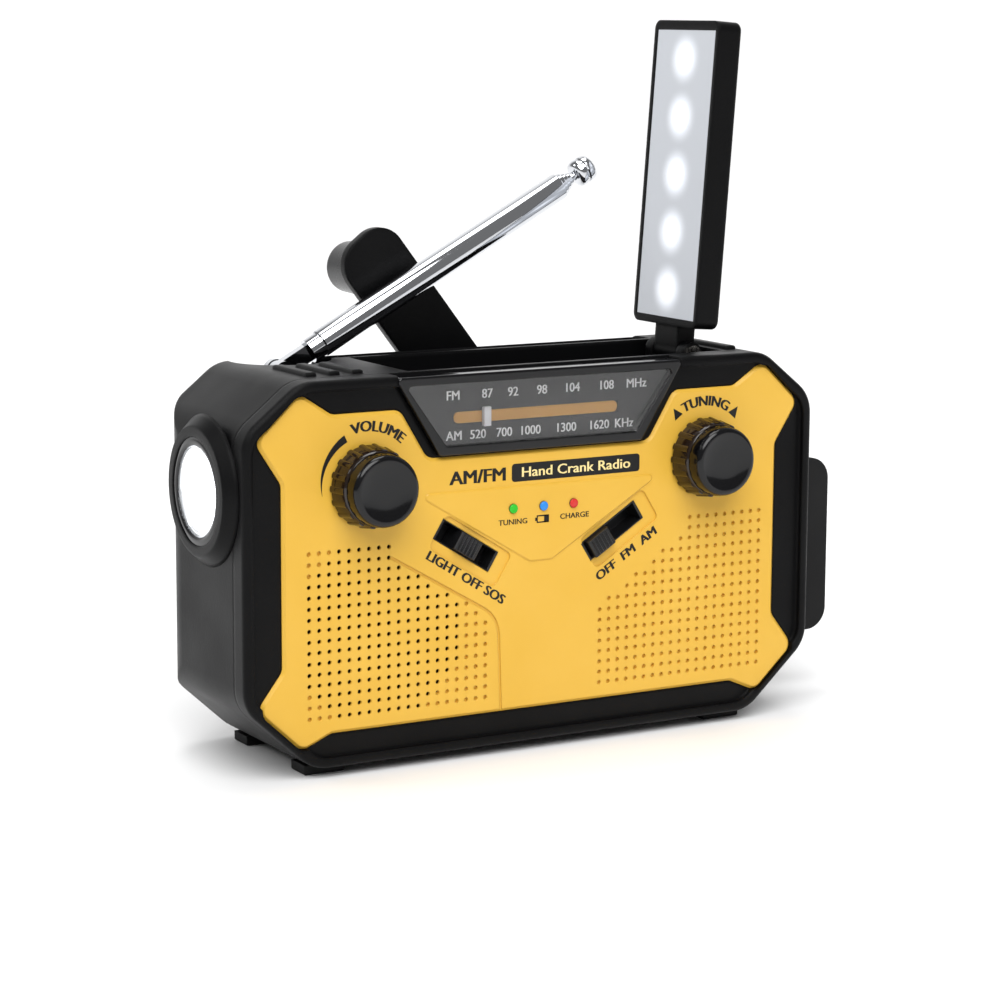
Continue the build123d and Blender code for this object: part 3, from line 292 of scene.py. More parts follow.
legend = bmesh.new()
stamp(legend, "VOLUME", 2.4, -KNOB_X, KNOB_Z, 13.0, arc=12.2, bold=0.07, wide=1.05)
stamp(legend, "TUNING", 2.4, KNOB_X, KNOB_Z, 2.0, arc=12.2, bold=0.07, wide=1.05)
for lean in (-36.0, 40.0):
    tip = []
    for radius, off in ((12.3, -6.0), (14.9, 0.0), (12.3, 6.0)):
        a = math.radians(lean + off)
        tip.append((KNOB_X + radius * math.sin(a), KNOB_Z + radius * math.cos(a)))
    patch(legend, tip)
wedge = []
for radius_out, order in ((True, range(-98, -25, 4)), (False, range(-26, -99, -4))):
    for degrees in order:
        a = math.radians(degrees)
        radius = 11.3 + (1.7 * (degrees + 98) / 72 + 0.05 if radius_out else 0.0)
        wedge.append((-KNOB_X + radius * math.sin(a), KNOB_Z + radius * math.cos(a)))
patch(legend, wedge)
tilt = math.radians(SWITCH_TILT)
for words, sign in (("LIGHT OFF SOS", -1), ("OFF  FM  AM", 1)):
    gap = 7.6 if sign < 0 else 7.9
    x = sign * (SWITCH_X + gap * math.sin(tilt)) + (3.2 if sign < 0 else 0.0)
    z = SWITCH_Z - gap * math.cos(tilt) - (2.2 if sign < 0 else 0.2)
    stamp(legend, words, 2.2, x + 0.2, z + 0.3, sign * SWITCH_TILT, bold=0.07, wide=1.1)
patch(legend, rounded(-7.8, 26.9, 63.7, 67.9, 0.8))
stamp(legend, "AM/FM", 3.1, -16.6, 64.2, bold=0.06)
finished("front_legend", legend, black_ink, "case")

small = bmesh.new()
stamp(small, "TUNING", 1.25, -7.6, 53.9, face=MIDDLE_FACE, bold=0.03)
stamp(small, "CHARGE", 1.25, 8.9, 54.1, face=MIDDLE_FACE, bold=0.03)
for outline in (rounded(-1.2, 1.9, 55.2, 55.5, 0.1), rounded(-1.2, 1.9, 53.7, 54.0, 0.1),
                rounded(-1.3, -1.0, 53.7, 55.5, 0.1), rounded(0.7, 2.0, 53.7, 55.5, 0.1),
                rounded(-1.7, -1.3, 54.2, 55.0, 0.1)):
    patch(small, outline, MIDDLE_FACE)
finished("lamp_legend", small, black_ink, "case")

reversed_words = bmesh.new()
stamp(reversed_words, "Hand Crank Radio", 2.3, 9.5, 64.7, face=PANEL_FACE - 0.04, bold=0.03, wide=1.2)
finished("pill_legend", reversed_words, pale_ink, "case")

# ---- Tuning dial ---------------------------------------------------------------------------
# A trapezoid of clear acrylic in a gloss black frame.  Behind it lies a black plate printed
# with the two bands, cut by a slot in which a white pointer slides over an amber strip.
gloss_black = moulded("gloss_black_ABS", "#08080a", "#0c0c0e", 0.1, 0.8, 0.004, edge=0.4, specular=0.4)
dress(gloss_black, "dial_frame")

# polished clear acrylic: a hard mirror-like skin over the print, with a few hairline scuffs
acrylic, acrylic_tree, acrylic_shader = paint("polished_clear_acrylic")
acrylic_shader.inputs["Base Color"].default_value = linear("#ffffff")
acrylic_shader.inputs["Transmission Weight"].default_value = 1.0
acrylic_shader.inputs["IOR"].default_value = 1.49
scuff_place = add(acrylic_tree, "ShaderNodeMapping",
                  links=[("Vector", add(acrylic_tree, "ShaderNodeTexCoord").outputs["Object"])],
                  Scale=(60.0, 900.0, 1400.0))
scuffs = add(acrylic_tree, "ShaderNodeTexNoise", links=[("Vector", scuff_place.outputs[0])],
             Scale=1.0, Detail=2.0)
dullness = add(acrylic_tree, "ShaderNodeMapRange", links=[("Value", scuffs.outputs["Fac"])],
               From_Min=0.6, From_Max=0.8, To_Min=0.01, To_Max=0.09)
acrylic_tree.links.new(dullness.outputs["Result"], acrylic_shader.inputs["Roughness"])
dress(acrylic, "dial_window")

# the plate behind the window: one even charcoal-black ink with a fine grain
plate_print = moulded("charcoal_black_plate_ink", "#0e0e10", "#151517", 0.4, 0.55, 0.005, edge=0.05)
dress(plate_print, "dial_scale")

# the pointer: white enamel on a thin strip of steel
pointer_white = moulded("white_enamel", "#d8d8dc", "#e4e4e6", 0.3, 0.6, 0.01, edge=0.05)
dress(pointer_white, "dial_pointer")
PLATE_FACE = -20.4
scale_film = bmesh.new()
FM_Z, AM_Z, FIGURE_H = 83.3, 74.1, 2.1   # mm, the rows' heights above the ground and the letters' height
for text, x in (("FM", -22.1), ("87", -13.2), ("92", -6.4), ("98", 1.3),
                ("104", 9.4), ("108", 18.7), ("MHz", 27.0)):
    stamp(scale_film, text, FIGURE_H, x, FM_Z, face=PLATE_FACE, bold=0.03, wide=0.95)
for text, x in (("AM", -21.8), ("520", -15.6), ("700", -8.7), ("1000", -1.8),
                ("1300", 7.8), ("1620", 16.8), ("KHz", 23.7)):
    stamp(scale_film, text, FIGURE_H, x, AM_Z, face=PLATE_FACE, bold=0.03, wide=0.95)
finished("scale_figures", scale_film,
         moulded("screen_printed_white_ink", "#e8e8ea", "#f0f0f0", 0.5, 0.4, 0.01, edge=0.01),
         "case")

# amber strip behind the slot, in its own shallow tray
amber = moulded("amber_polystyrene", "#c08a34", "#d09a44", 0.3, 0.7, 0.01, edge=0.05)
strip = bmesh.new()
patch(strip, rounded(-21.8, 21.8, 77.9, 80.5, 1.2), face=-20.0, thick=0.3)
finished("amber_strip", strip, amber, "case")

# ---- Knobs ---------------------------------------------------------------------------------
# Volume and tuning knobs: a gloss black cap pressed into a smoked brown skirt with a ring of
# moulded finger ribs.  The skirt is translucent, so its ribs show paler than its grooves.
SKIRT_BACK_R, SKIRT_FRONT_R = 9.55, 8.9     # mm
SKIRT_BACK, SKIRT_H = -23.4, 5.6
RIB_COUNT, RIB_W = 18, 1.5


def lathe(name, profile, sides=96, sharp=35.0):
    """A turned shape: profile is a closed run of (radius, height) in mm round Z, in metres."""
    shape = bmesh.new()
    rings = []
    for step in range(sides):
        a = 2 * math.pi * step / sides
        rings.append([shape.verts.new((r * math.cos(a) / 1000, r * math.sin(a) / 1000, h / 1000))
                      for r, h in profile])
    for step in range(sides):
        here, there = rings[step], rings[(step + 1) % sides]
        for spot in range(len(profile)):
            after = (spot + 1) % len(profile)
            shape.faces.new((here[spot], there[spot], there[after], here[after]))
    bmesh.ops.remove_doubles(shape, verts=shape.verts, dist=1e-7)
    bmesh.ops.recalc_face_normals(shape, faces=shape.faces)
    mesh = bpy.data.meshes.new(name)
    shape.to_mesh(mesh)
    shape.free()
    mesh.shade_smooth()
    mesh.set_sharp_from_angle(angle=math.radians(sharp))
    return mesh


def growth(name, inputs):
    """A geometry tree with a geometry input and the named sizes; returns (tree, start, end)."""
    tree = bpy.data.node_groups.new(name, "GeometryNodeTree")
    tree.interface.new_socket("Geometry", in_out="OUTPUT", socket_type="NodeSocketGeometry")
    tree.interface.new_socket("Geometry", in_out="INPUT", socket_type="NodeSocketGeometry")
    for key, kind in inputs.items():
        tree.interface.new_socket(key, in_out="INPUT", socket_type="NodeSocket" + kind)
    return tree, tree.nodes.new("NodeGroupInput"), tree.nodes.new("NodeGroupOutput")


def grown(name, tree, mesh, **values):
    """Runs a geometry tree on a mesh with these input values and returns the plain mesh."""
    seed = bpy.data.objects.new(name, mesh)
    scene.collection.objects.link(seed)
    rule = seed.modifiers.new(name, "NODES")
    rule.node_group = tree
    for item in tree.interface.items_tree:
        if item.in_out == "INPUT" and item.name in values:
            rule[item.identifier] = values[item.name]
    bpy.context.view_layer.update()
    result = bpy.data.meshes.new_from_object(seed.evaluated_get(bpy.context.evaluated_depsgraph_get()))
    seed.modifiers.clear()
    bpy.data.objects.remove(seed)
    result.name = name
    return result


# a ring of copies of the input piece, which is drawn at its place on the +X side
ring, ring_in, ring_out = growth("ring_of_ribs", {"Count": "Int", "Finish": "Material"})
spots = add(ring, "GeometryNodePoints", links=[("Count", ring_in.outputs["Count"])])
share = add(ring, "ShaderNodeMath", {"operation": "DIVIDE"},
            [(0, add(ring, "GeometryNodeInputIndex").outputs[0]),
            (1, ring_in.outputs["Count"])])
angle = add(ring, "ShaderNodeMath", {"operation": "MULTIPLY"}, [(0, share.outputs[0])])
angle.inputs[1].default_value = 2 * math.pi
facing = add(ring, "ShaderNodeCombineXYZ", links=[("Z", angle.outputs[0])])
copies = add(ring, "GeometryNodeInstanceOnPoints", links=[("Points", spots.outputs[0]),
             ("Instance", ring_in.outputs["Geometry"]), ("Rotation", facing.outputs[0])])
solid = add(ring, "GeometryNodeRealizeInstances", links=[("Geometry", copies.outputs[0])])
coat = add(ring, "GeometryNodeSetMaterial",
           links=[("Geometry", solid.outputs[0]), ("Material", ring_in.outputs["Finish"])])
ring.links.new(coat.outputs[0], ring_out.inputs["Geometry"])

# smoked polystyrene: brown-black, shiny, letting a little light through at the thin ribs
smoked, smoked_tree, smoked_shader = paint("smoked_brown_polystyrene")
smoked_place = add(smoked_tree, "ShaderNodeTexCoord").outputs["Object"]
flow = add(smoked_tree, "ShaderNodeTexNoise", links=[("Vector", smoked_place)], Scale=260.0, Detail=3.0)
smoke = add(smoked_tree, "ShaderNodeMixRGB", links=[("Fac", flow.outputs["Fac"])], Color1=linear("#120b07"),
            Color2=linear("#281a10"))
smoked_tree.links.new(smoke.outputs["Color"], smoked_shader.inputs["Base Color"])
smoked_shader.inputs["Roughness"].default_value = 0.14
smoked_shader.inputs["Transmission Weight"].default_value = 0.1
smoked_shader.inputs["IOR"].default_value = 1.55


def wedge_rib(low, high, height, width):
    """A rib standing on the +X side of a cone: half-round across, its ends let into the cone."""
    shape = bmesh.new()
    sections = []
    for radius, z in ((low, 0.0), (high, height)):
        row = []
        for step in range(7):
            a = math.pi * (step / 6 - 0.5)
            row.append(shape.verts.new(((radius + 0.2 * width * math.cos(a)) / 1000,
                                        width / 2 * math.sin(a) / 1000, z / 1000)))
        sections.append(row)
    for spot in range(6):
        shape.faces.new((sections[0][spot], sections[0][spot + 1], sections[1][spot + 1], sections[1][spot]))
    shape.faces.new(sections[1])
    shape.faces.new(list(reversed(sections[0])))
    shape.faces.new((sections[0][0], sections[1][0], sections[1][6], sections[0][6]))
    bmesh.ops.recalc_face_normals(shape, faces=shape.faces)
    mesh = bpy.data.meshes.new("rib")
    shape.to_mesh(mesh)
    shape.free()
    mesh.shade_smooth()
    mesh.set_sharp_from_angle(angle=math.radians(50))
    return mesh


def joined(name, *meshes):
    """One mesh of several."""
    shape = bmesh.new()
    for mesh in meshes:
        shape.from_mesh(mesh)
    mesh = bpy.data.meshes.new(name)
    shape.to_mesh(mesh)
    shape.free()
    return mesh


for name, side_of in (("volume", -1), ("tuning", 1)):
    onto = (Matrix.Translation((side_of * KNOB_X / 1000, SKIRT_BACK / 1000, KNOB_Z / 1000))
            @ Matrix.Rotation(math.radians(90), 4, "X"))
    cone = lathe("cone", [(8.25, 0.0), (SKIRT_BACK_R - 0.45, 0.0), (SKIRT_BACK_R - 0.25, 0.25),
                          (SKIRT_FRONT_R - 0.25, SKIRT_H - 0.45), (SKIRT_FRONT_R - 0.65, SKIRT_H),
                           (8.25, SKIRT_H)])
    ribs = grown("ribs", ring, wedge_rib(SKIRT_BACK_R - 0.25, SKIRT_FRONT_R - 0.25, SKIRT_H - 0.5, RIB_W),
                 Count=RIB_COUNT, Finish=smoked)
    skirt = placed(name + "_skirt", joined(name + "_skirt", cone, ribs), onto, smoked,
                   name + "_knob")
    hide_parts(name + "_knob_skirt")
    # the cap's face is slightly hollow inside a rolled rim, which catches a thin bright ring
    cap = lathe("cap", [(0.0, 0.0), (8.15, 0.0), (8.2, 0.2), (8.15, 8.4), (7.95, 9.0), (7.5, 9.45),
                        (6.95, 9.58), (6.5, 9.5), (6.0, 9.3), (3.0, 9.15), (0.0, 9.1)], sharp=60.0)
    cap = placed(name + "_cap", cap, onto, gloss_black, name + "_knob")
    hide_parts(name + "_knob_cap")

# ---- Slide switches ------------------------------------------------------------------------
# Black acetal sliders in slots under the knobs, each with a row of moulded ridges for the
# fingertip.  They move in shallow black wells behind the panel.
acetal = moulded("satin_black_acetal", "#101012", "#18181a", 0.3, 0.5, 0.01, edge=0.25, specular=0.4)
dress(acetal, "light_switch_slider", "band_switch_slider", "switch_bodies")
row, row_in, row_out = growth("row_of_ridges", {"Count": "Int", "Step": "Vector", "Finish": "Material"})
line = add(row, "GeometryNodeMeshLine", {"mode": "OFFSET"},
           [("Count", row_in.outputs["Count"]), ("Offset", row_in.outputs["Step"])])
run = add(row, "GeometryNodeInstanceOnPoints",
          links=[("Points", line.outputs[0]), ("Instance", row_in.outputs["Geometry"])])
whole_run = add(row, "GeometryNodeRealizeInstances", links=[("Geometry", run.outputs[0])])
run_coat = add(row, "GeometryNodeSetMaterial",
               links=[("Geometry", whole_run.outputs[0]), ("Material", row_in.outputs["Finish"])])
row.links.new(run_coat.outputs[0], row_out.inputs["Geometry"])


def bar(name, x0, x1, y0, y1, z0, z1, rounding):
    """A bar with rounded edges, between two corners in mm, as a mesh in metres."""
    shape = bmesh.new()
    bmesh.ops.create_cube(shape, size=1.0)
    for vertex in shape.verts:
        vertex.co = ((x0 + x1) / 2 + vertex.co.x * (x1 - x0), (y0 + y1) / 2 + vertex.co.y * (y1 - y0),
                     (z0 + z1) / 2 + vertex.co.z * (z1 - z0))
    bmesh.ops.bevel(shape, geom=shape.edges[:], offset=rounding, segments=3, profile=0.5, affect="EDGES")
    bmesh.ops.scale(shape, vec=(0.001, 0.001, 0.001), verts=shape.verts)
    mesh = bpy.data.meshes.new(name)
    shape.to_mesh(mesh)
    shape.free()
    mesh.shade_smooth()
    mesh.set_sharp_from_angle(angle=math.radians(50))
    return mesh


for name, side_of, offset in (("light_slider", -1, 0.0), ("band_slider", 1, -4.2)):
    ridge = bar("ridge", offset - 2.25, offset - 1.75, -24.5, -24.1, -2.0, 2.0, 0.18)
    ridges = grown("ridges", row, ridge, Count=5, Step=(0.001, 0.0, 0.0), Finish=acetal)
    onto = (Matrix.Translation((side_of * SWITCH_X / 1000, 0.0, SWITCH_Z / 1000))
            @ Matrix.Rotation(-side_of * tilt, 4, "Y"))
    placed(name + "_ridges", ridges, onto, acetal, name)

# ---- Indicator lights ----------------------------------------------------------------------
# Three clear light pipes through the panel, each with a domed end lit from behind: green for
# tuning, blue for the battery and red for charging.
pipe, _, pipe_shader = paint("clear_light_pipe")
pipe_shader.inputs["Base Color"].default_value = linear("#6a6c70")
pipe_shader.inputs["Transmission Weight"].default_value = 0.6
pipe_shader.inputs["Roughness"].default_value = 0.2
dress(pipe, "indicator_lights")
LIGHT_FACE, LIGHT_Z = -23.62, 57.6      # mm, the lights' front face and height
for name, colour, x in (("green", "#14a810", -7.6), ("blue", "#1478c8", 0.5), ("red", "#b81408", 8.6)):
    lit, lit_tree, lit_shader = paint("lit_" + name + "_lens")
    lit_place = add(lit_tree, "ShaderNodeTexCoord").outputs["Object"]
    speck = add(lit_tree, "ShaderNodeTexNoise", links=[("Vector", lit_place)], Scale=900.0, Detail=1.0)
    fleck = add(lit_tree, "ShaderNodeMapRange", links=[("Value", speck.outputs["Fac"])], To_Max=0.15)
    shade = add(lit_tree, "ShaderNodeMixRGB", links=[("Fac", fleck.outputs["Result"])],
                Color1=linear(colour), Color2=linear("#b0b0b0"))
    lit_tree.links.new(shade.outputs["Color"], lit_shader.inputs["Base Color"])
    lit_shader.inputs["Roughness"].default_value = 0.15
    lit_shader.inputs["Emission Color"].default_value = linear(colour)
    lit_shader.inputs["Emission Strength"].default_value = 0.35
    lit_shader.inputs["Specular IOR Level"].default_value = 0.2
    dome = lathe("dome", [(0.0, 0.0), (1.08, 0.0), (1.06, 0.12), (0.92, 0.26), (0.6, 0.38), (0.0, 0.42)],
                 32, 60.0)
    onto = Matrix.Translation((x / 1000, LIGHT_FACE / 1000, LIGHT_Z / 1000)) \
        @ Matrix.Rotation(math.radians(90), 4, "X")
    placed(name + "_indicator", dome, onto, lit, "case")

# ---- Reading lamp --------------------------------------------------------------------------
# A flat black ABS arm on a steel pin.  One side is a frosted light cover over five white
# diodes; the other carries a small solar panel under clear resin.
LAMP_PIVOT = (49.7, -2.2, 88.6)     # mm
LAMP_LEAN = math.radians(4.3)
DIODE_FIRST, DIODE_PITCH = 15.1, 13.8   # mm up the lamp from its pivot
CELL_FACE, CELL_W, CELL_LOW, CELL_HIGH = 3.25, 22.6, 10.5, 75.3
dress(black_abs, "lamp_housing")
lamp_place = (Matrix.Translation([n / 1000 for n in LAMP_PIVOT]) @ Matrix.Rotation(LAMP_LEAN, 4, "Y"))

# frosted polycarbonate: milk white, with a soft bright patch over each diode
frosted, frost_tree, frost_shader = paint("frosted_polycarbonate_lit")
frost_at = add(frost_tree, "ShaderNodeMapping", {"vector_type": "TEXTURE"},
               [("Vector", add(frost_tree, "ShaderNodeTexCoord").outputs["Object"])],
               Location=[n / 1000 for n in LAMP_PIVOT], Rotation=(0.0, LAMP_LEAN, 0.0),
               Scale=(0.001, 0.001, 0.001))
frost_xyz = add(frost_tree, "ShaderNodeSeparateXYZ", links=[("Vector", frost_at.outputs[0])])
up_lamp = add(frost_tree, "ShaderNodeMath", {"operation": "ADD"}, [(0, frost_xyz.outputs["Z"])])
up_lamp.inputs[1].default_value = DIODE_PITCH / 2 - DIODE_FIRST
wrapped = add(frost_tree, "ShaderNodeMath", {"operation": "PINGPONG"}, [(0, up_lamp.outputs[0])])
wrapped.inputs[1].default_value = DIODE_PITCH / 2
off_diode = add(frost_tree, "ShaderNodeMath", {"operation": "SUBTRACT"}, [(1, wrapped.outputs[0])])
off_diode.inputs[0].default_value = DIODE_PITCH / 2
spot_at = add(frost_tree, "ShaderNodeCombineXYZ",
              links=[("Y", frost_xyz.outputs["Y"]), ("Z", off_diode.outputs[0])])
away = add(frost_tree, "ShaderNodeVectorMath", {"operation": "LENGTH"}, [("Vector", spot_at.outputs[0])])
glow = add(frost_tree, "ShaderNodeMapRange", {"interpolation_type": "SMOOTHERSTEP"},
           [("Value", away.outputs["Value"])],
           From_Min=0.5, From_Max=7.5, To_Min=1.0, To_Max=0.3)
frost_grain = add(frost_tree, "ShaderNodeTexNoise", links=[("Vector", frost_at.outputs[0])],
                  Scale=1.6, Detail=2.0)
frost_bump = add(frost_tree, "ShaderNodeBump", links=[("Height", frost_grain.outputs["Fac"])],
                 Distance=0.00002, Strength=0.5)
frost_tree.links.new(glow.outputs["Result"], frost_shader.inputs["Emission Strength"])
frost_tree.links.new(frost_bump.outputs[0], frost_shader.inputs["Normal"])
frost_shader.inputs["Emission Color"].default_value = linear("#f4f8ff")
frost_shader.inputs["Base Color"].default_value = linear("#9a9da2")
frost_shader.inputs["Roughness"].default_value = 0.4
dress(frosted, "lamp_diffuser")

# crystalline silicon under resin: blue-black cells with a faint grain, glossy on top
silicon, silicon_tree, silicon_shader = paint("silicon_cells_under_resin")
silicon_at = add(silicon_tree, "ShaderNodeTexCoord").outputs["Object"]
crystals = add(silicon_tree, "ShaderNodeTexVoronoi", links=[("Vector", silicon_at)], Scale=420.0)
silicon_tint = add(silicon_tree, "ShaderNodeMixRGB", links=[("Fac", crystals.outputs["Color"])],
                   Color1=linear("#0a1226"), Color2=linear("#16213c"))
silicon_tree.links.new(silicon_tint.outputs["Color"], silicon_shader.inputs["Base Color"])
silicon_shader.inputs["Roughness"].default_value = 0.25
silicon_shader.inputs["Coat Weight"].default_value = 1.0
silicon_shader.inputs["Coat Roughness"].default_value = 0.04
dress(silicon, "solar_panel")


def metal(name, colour, gloss, grain, stretch=(1.0, 1.0, 1.0), depth=0.002):
    """A metal with tool marks of this size in mm, stretched along the way it was worked."""
    material, tree, shader = paint(name)
    place = add(tree, "ShaderNodeMapping",
                links=[("Vector", add(tree, "ShaderNodeTexCoord").outputs["Object"])], Scale=stretch)
    marks = add(tree, "ShaderNodeTexNoise", links=[("Vector", place.outputs[0])],
                Scale=1000 / grain, Detail=4.0)
    dull = add(tree, "ShaderNodeMapRange", links=[("Value", marks.outputs["Fac"])],
               From_Min=0.3, From_Max=0.7,
               To_Min=gloss * 0.7, To_Max=gloss * 1.5)
    relief = add(tree, "ShaderNodeBump", links=[("Height", marks.outputs["Fac"])],
                 Distance=depth / 1000, Strength=0.3)
    shader.inputs["Base Color"].default_value = linear(colour)
    shader.inputs["Metallic"].default_value = 1.0
    tree.links.new(dull.outputs["Result"], shader.inputs["Roughness"])
    tree.links.new(relief.outputs[0], shader.inputs["Normal"])
    return material


# silver paste: pale matt grey lines printed across each cell, joined by two wide bars
silver_paste = metal("fired_silver_paste", "#b8bcc0", 0.4, 0.3)
finger = bar("finger", CELL_FACE, CELL_FACE + 0.04, -CELL_W / 2 + 0.8, CELL_W / 2 - 0.8,
             CELL_LOW + 1.4, CELL_LOW + 1.52, 0.01)
fingers = grown("fingers", row, finger, Count=42, Step=(0.0, 0.0, 0.0015), Finish=silver_paste)
bus = bar("bus", CELL_FACE, CELL_FACE + 0.05, -5.4, -4.6, CELL_LOW + 1.0, CELL_HIGH - 1.0, 0.02)
buses = grown("buses", row, bus, Count=2, Step=(0.0, 0.010, 0.0), Finish=silver_paste)
placed("solar_grid", joined("solar_grid", fingers, buses), lamp_place, silver_paste, "lamp")

nickel = metal("nickel_plated_steel", "#b9b6b0", 0.22, 0.5)
dress(nickel, "lamp_hinge_pin", "grip_pin", "usb_socket", "battery_contacts")

# ---- Telescopic aerial ---------------------------------------------------------------------
# Five drawn brass tubes, chromium plated and polished, sliding one in the next.  Each mouth is
# rolled in, and the last section ends in a turned button.
AERIAL_PIVOT = (-47.0, 17.4, 87.2)      # mm
AERIAL_RAISED = math.radians(28.4)
TUBE_R, TUBE_STEP, TUBE_START, TUBE_END, SHOWN = 3.3, 0.55, 12.0, 86.0, 1.2
# polished chromium: a sharp mirror with faint lengthwise draw lines
chrome = metal("polished_chromium_plate", "#d4d6da", 0.05, 0.4, (0.1, 1.0, 1.0), 0.0005)
dress(chrome, "antenna_base", "antenna_knuckle")
aerial_place = (Matrix.Translation([n / 1000 for n in AERIAL_PIVOT])
                @ Matrix.Rotation(math.pi / 2 - AERIAL_RAISED, 4, "Y"))
for count in range(5):
    radius, start, end = TUBE_R - TUBE_STEP * count, TUBE_START + count, TUBE_END + SHOWN * count
    if count < 4:
        bore = radius - 0.35
        run = [(bore, start + 0.6), (bore, end - 0.3), (radius - 0.3, end), (radius - 0.12, end - 0.08),
               (radius, end - 0.4), (radius, start + 0.3), (radius - 0.3, start),
                (0.0, start), (0.0, start + 0.6)]
    else:
        run = [(0.0, start), (radius, start), (radius, end), (2.2, end + 0.05), (3.0, end + 0.5),
               (3.3, end + 1.2),
               (3.3, end + 2.0), (3.0, end + 2.3), (3.0, end + 2.7), (3.3, end + 3.0), (3.3, end + 4.0),
               (3.0, end + 4.7), (2.3, end + 5.15), (0.0, end + 5.2)]
    body = "aerial_tube" if count == 0 else f"aerial_{count}"
    node = "antenna_tube" if count == 0 else f"antenna_section_{count}"
    tube = placed("chrome_" + body, lathe("tube", run, 64, 40.0), aerial_place, chrome, body)
    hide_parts(node)

# ---- Hand crank ----------------------------------------------------------------------------
# A flat arm of black ABS on the dynamo's drive shaft, held by a domed steel screw, with a
# round grip that spins on a riveted pin.
dress(black_abs, "crank_arm")
dress(acetal, "crank_grip")
dress(nickel, "crank_shaft", "crank_screw")

# ---- Flashlight ----------------------------------------------------------------------------
# A single white diode in a chromed bowl behind a clear lens, in a black ring on the left side.
dress(black_abs, "flashlight_bezel")
mirror = metal("vacuum_metallised_bowl", "#dfe1e4", 0.07, 2.0)
dress(mirror, "flashlight_reflector")
lit_diode, diode_tree, diode_shader = paint("lit_white_diode")
diode_at = add(diode_tree, "ShaderNodeTexCoord").outputs["Object"]
phosphor = add(diode_tree, "ShaderNodeTexNoise", links=[("Vector", diode_at)], Scale=700.0)
phosphor_tint = add(diode_tree, "ShaderNodeMixRGB", links=[("Fac", phosphor.outputs["Fac"])],
                    Color1=linear("#f2f6ff"), Color2=linear("#ffffff"))
diode_tree.links.new(phosphor_tint.outputs["Color"], diode_shader.inputs["Base Color"])
diode_shader.inputs["Emission Color"].default_value = linear("#f6f9ff")
diode_shader.inputs["Emission Strength"].default_value = 12.0
dress(lit_diode, "flashlight_led")
TORCH_Y, TORCH_Z = -5.0, 64.5           # mm
# the lens: clear acrylic whose moulded rings scatter the beam, so it is brightest at its middle
beam, beam_tree, beam_shader = paint("lit_clear_acrylic_lens")
beam_at = add(beam_tree, "ShaderNodeMapping", {"vector_type": "TEXTURE"},
              [("Vector", add(beam_tree, "ShaderNodeTexCoord").outputs["Object"])],
              Location=(-0.078, TORCH_Y / 1000, TORCH_Z / 1000), Scale=(1e6, 0.001, 0.001))
beam_off = add(beam_tree, "ShaderNodeVectorMath", {"operation": "LENGTH"}, [("Vector", beam_at.outputs[0])])
beam_glow = add(beam_tree, "ShaderNodeMapRange", {"interpolation_type": "SMOOTHSTEP"},
                [("Value", beam_off.outputs["Value"])],
                From_Min=3.0, From_Max=11.5, To_Min=1.5, To_Max=0.05)
RING_TURN = 7.0                         # radians of the ring wave for each mm outwards
beam_phase = add(beam_tree, "ShaderNodeMath", {"operation": "MULTIPLY"}, [(0, beam_off.outputs["Value"])])
beam_phase.inputs[1].default_value = RING_TURN
beam_rings = add(beam_tree, "ShaderNodeMath", {"operation": "SINE"}, [(0, beam_phase.outputs[0])])
beam_bump = add(beam_tree, "ShaderNodeBump", links=[("Height", beam_rings.outputs[0])],
                Distance=0.0001, Strength=0.25)
beam_tree.links.new(beam_glow.outputs["Result"], beam_shader.inputs["Emission Strength"])
beam_tree.links.new(beam_bump.outputs[0], beam_shader.inputs["Normal"])
beam_shader.inputs["Emission Color"].default_value = linear("#f8fbff")
beam_shader.inputs["Base Color"].default_value = linear("#ffffff")
beam_shader.inputs["Transmission Weight"].default_value = 1.0
beam_shader.inputs["IOR"].default_value = 1.49
beam_shader.inputs["Roughness"].default_value = 0.05
dress(beam, "flashlight_lens")
# a stepped black ring pressed in over the lens holds it against the bowl
TORCH_FACE = -78.75                     # mm
HOOP_IN = 0.6                           # mm, the hoop's foot behind that face
hoop_outline = [(10.3, 0.05), (10.3, 0.32), (10.9, 0.55), (11.3, 0.55),
                (11.6, 0.45), (12.25, 0.4), (12.25, 0.05)]
hoop = lathe("hoop", hoop_outline, 96, 40.0)
onto = (Matrix.Translation(((TORCH_FACE + HOOP_IN) / 1000, TORCH_Y / 1000, TORCH_Z / 1000))
        @ Matrix.Rotation(math.radians(-90), 4, "Y"))
placed("lens_hoop", hoop, onto, gloss_black, "case")

# ---- Port flap and sockets -----------------------------------------------------------------
# A black silicone cover hinged beside the sockets on the right side, here swung open, with a
# plug moulded on it that fills the USB socket.
rubber = moulded("matt_black_silicone", "#0b0b0c", "#131314", 0.6, 0.8, 0.03, edge=0.5, specular=0.25)
dress(rubber, "port_flap", "flap_hinge", "rubber_feet")
dress(acetal, "charging_socket", "headphone_socket")

# ---- Back: battery door and screws ---------------------------------------------------------
# The battery door lifts at its finger ridges.  Four self-tapping steel screws sit in deep
# wells, each with a cross recess.
dress(black_abs, "battery_door")
black_zinc = metal("black_zinc_steel", "#4a4a4c", 0.35, 0.5)
dress(black_zinc, "case_screws")
SCREW_PLACES = [(-56.0, 9.6), (56.0, 9.6), (-62.0, 76.0), (62.0, 76.0)]     # mm
HEAD_FACE = 19.6
screws, screws_in, screws_out = growth("screws_at_points", {"Head": "Object", "Finish": "Material"})
head_shape = add(screws, "GeometryNodeObjectInfo", links=[("Object", screws_in.outputs["Head"])])
heads_on = add(screws, "GeometryNodeInstanceOnPoints", links=[("Points", screws_in.outputs["Geometry"]),
               ("Instance", head_shape.outputs["Geometry"])])
heads_solid = add(screws, "GeometryNodeRealizeInstances", links=[("Geometry", heads_on.outputs[0])])
heads_coat = add(screws, "GeometryNodeSetMaterial", links=[("Geometry", heads_solid.outputs[0]),
                 ("Material", screws_in.outputs["Finish"])])
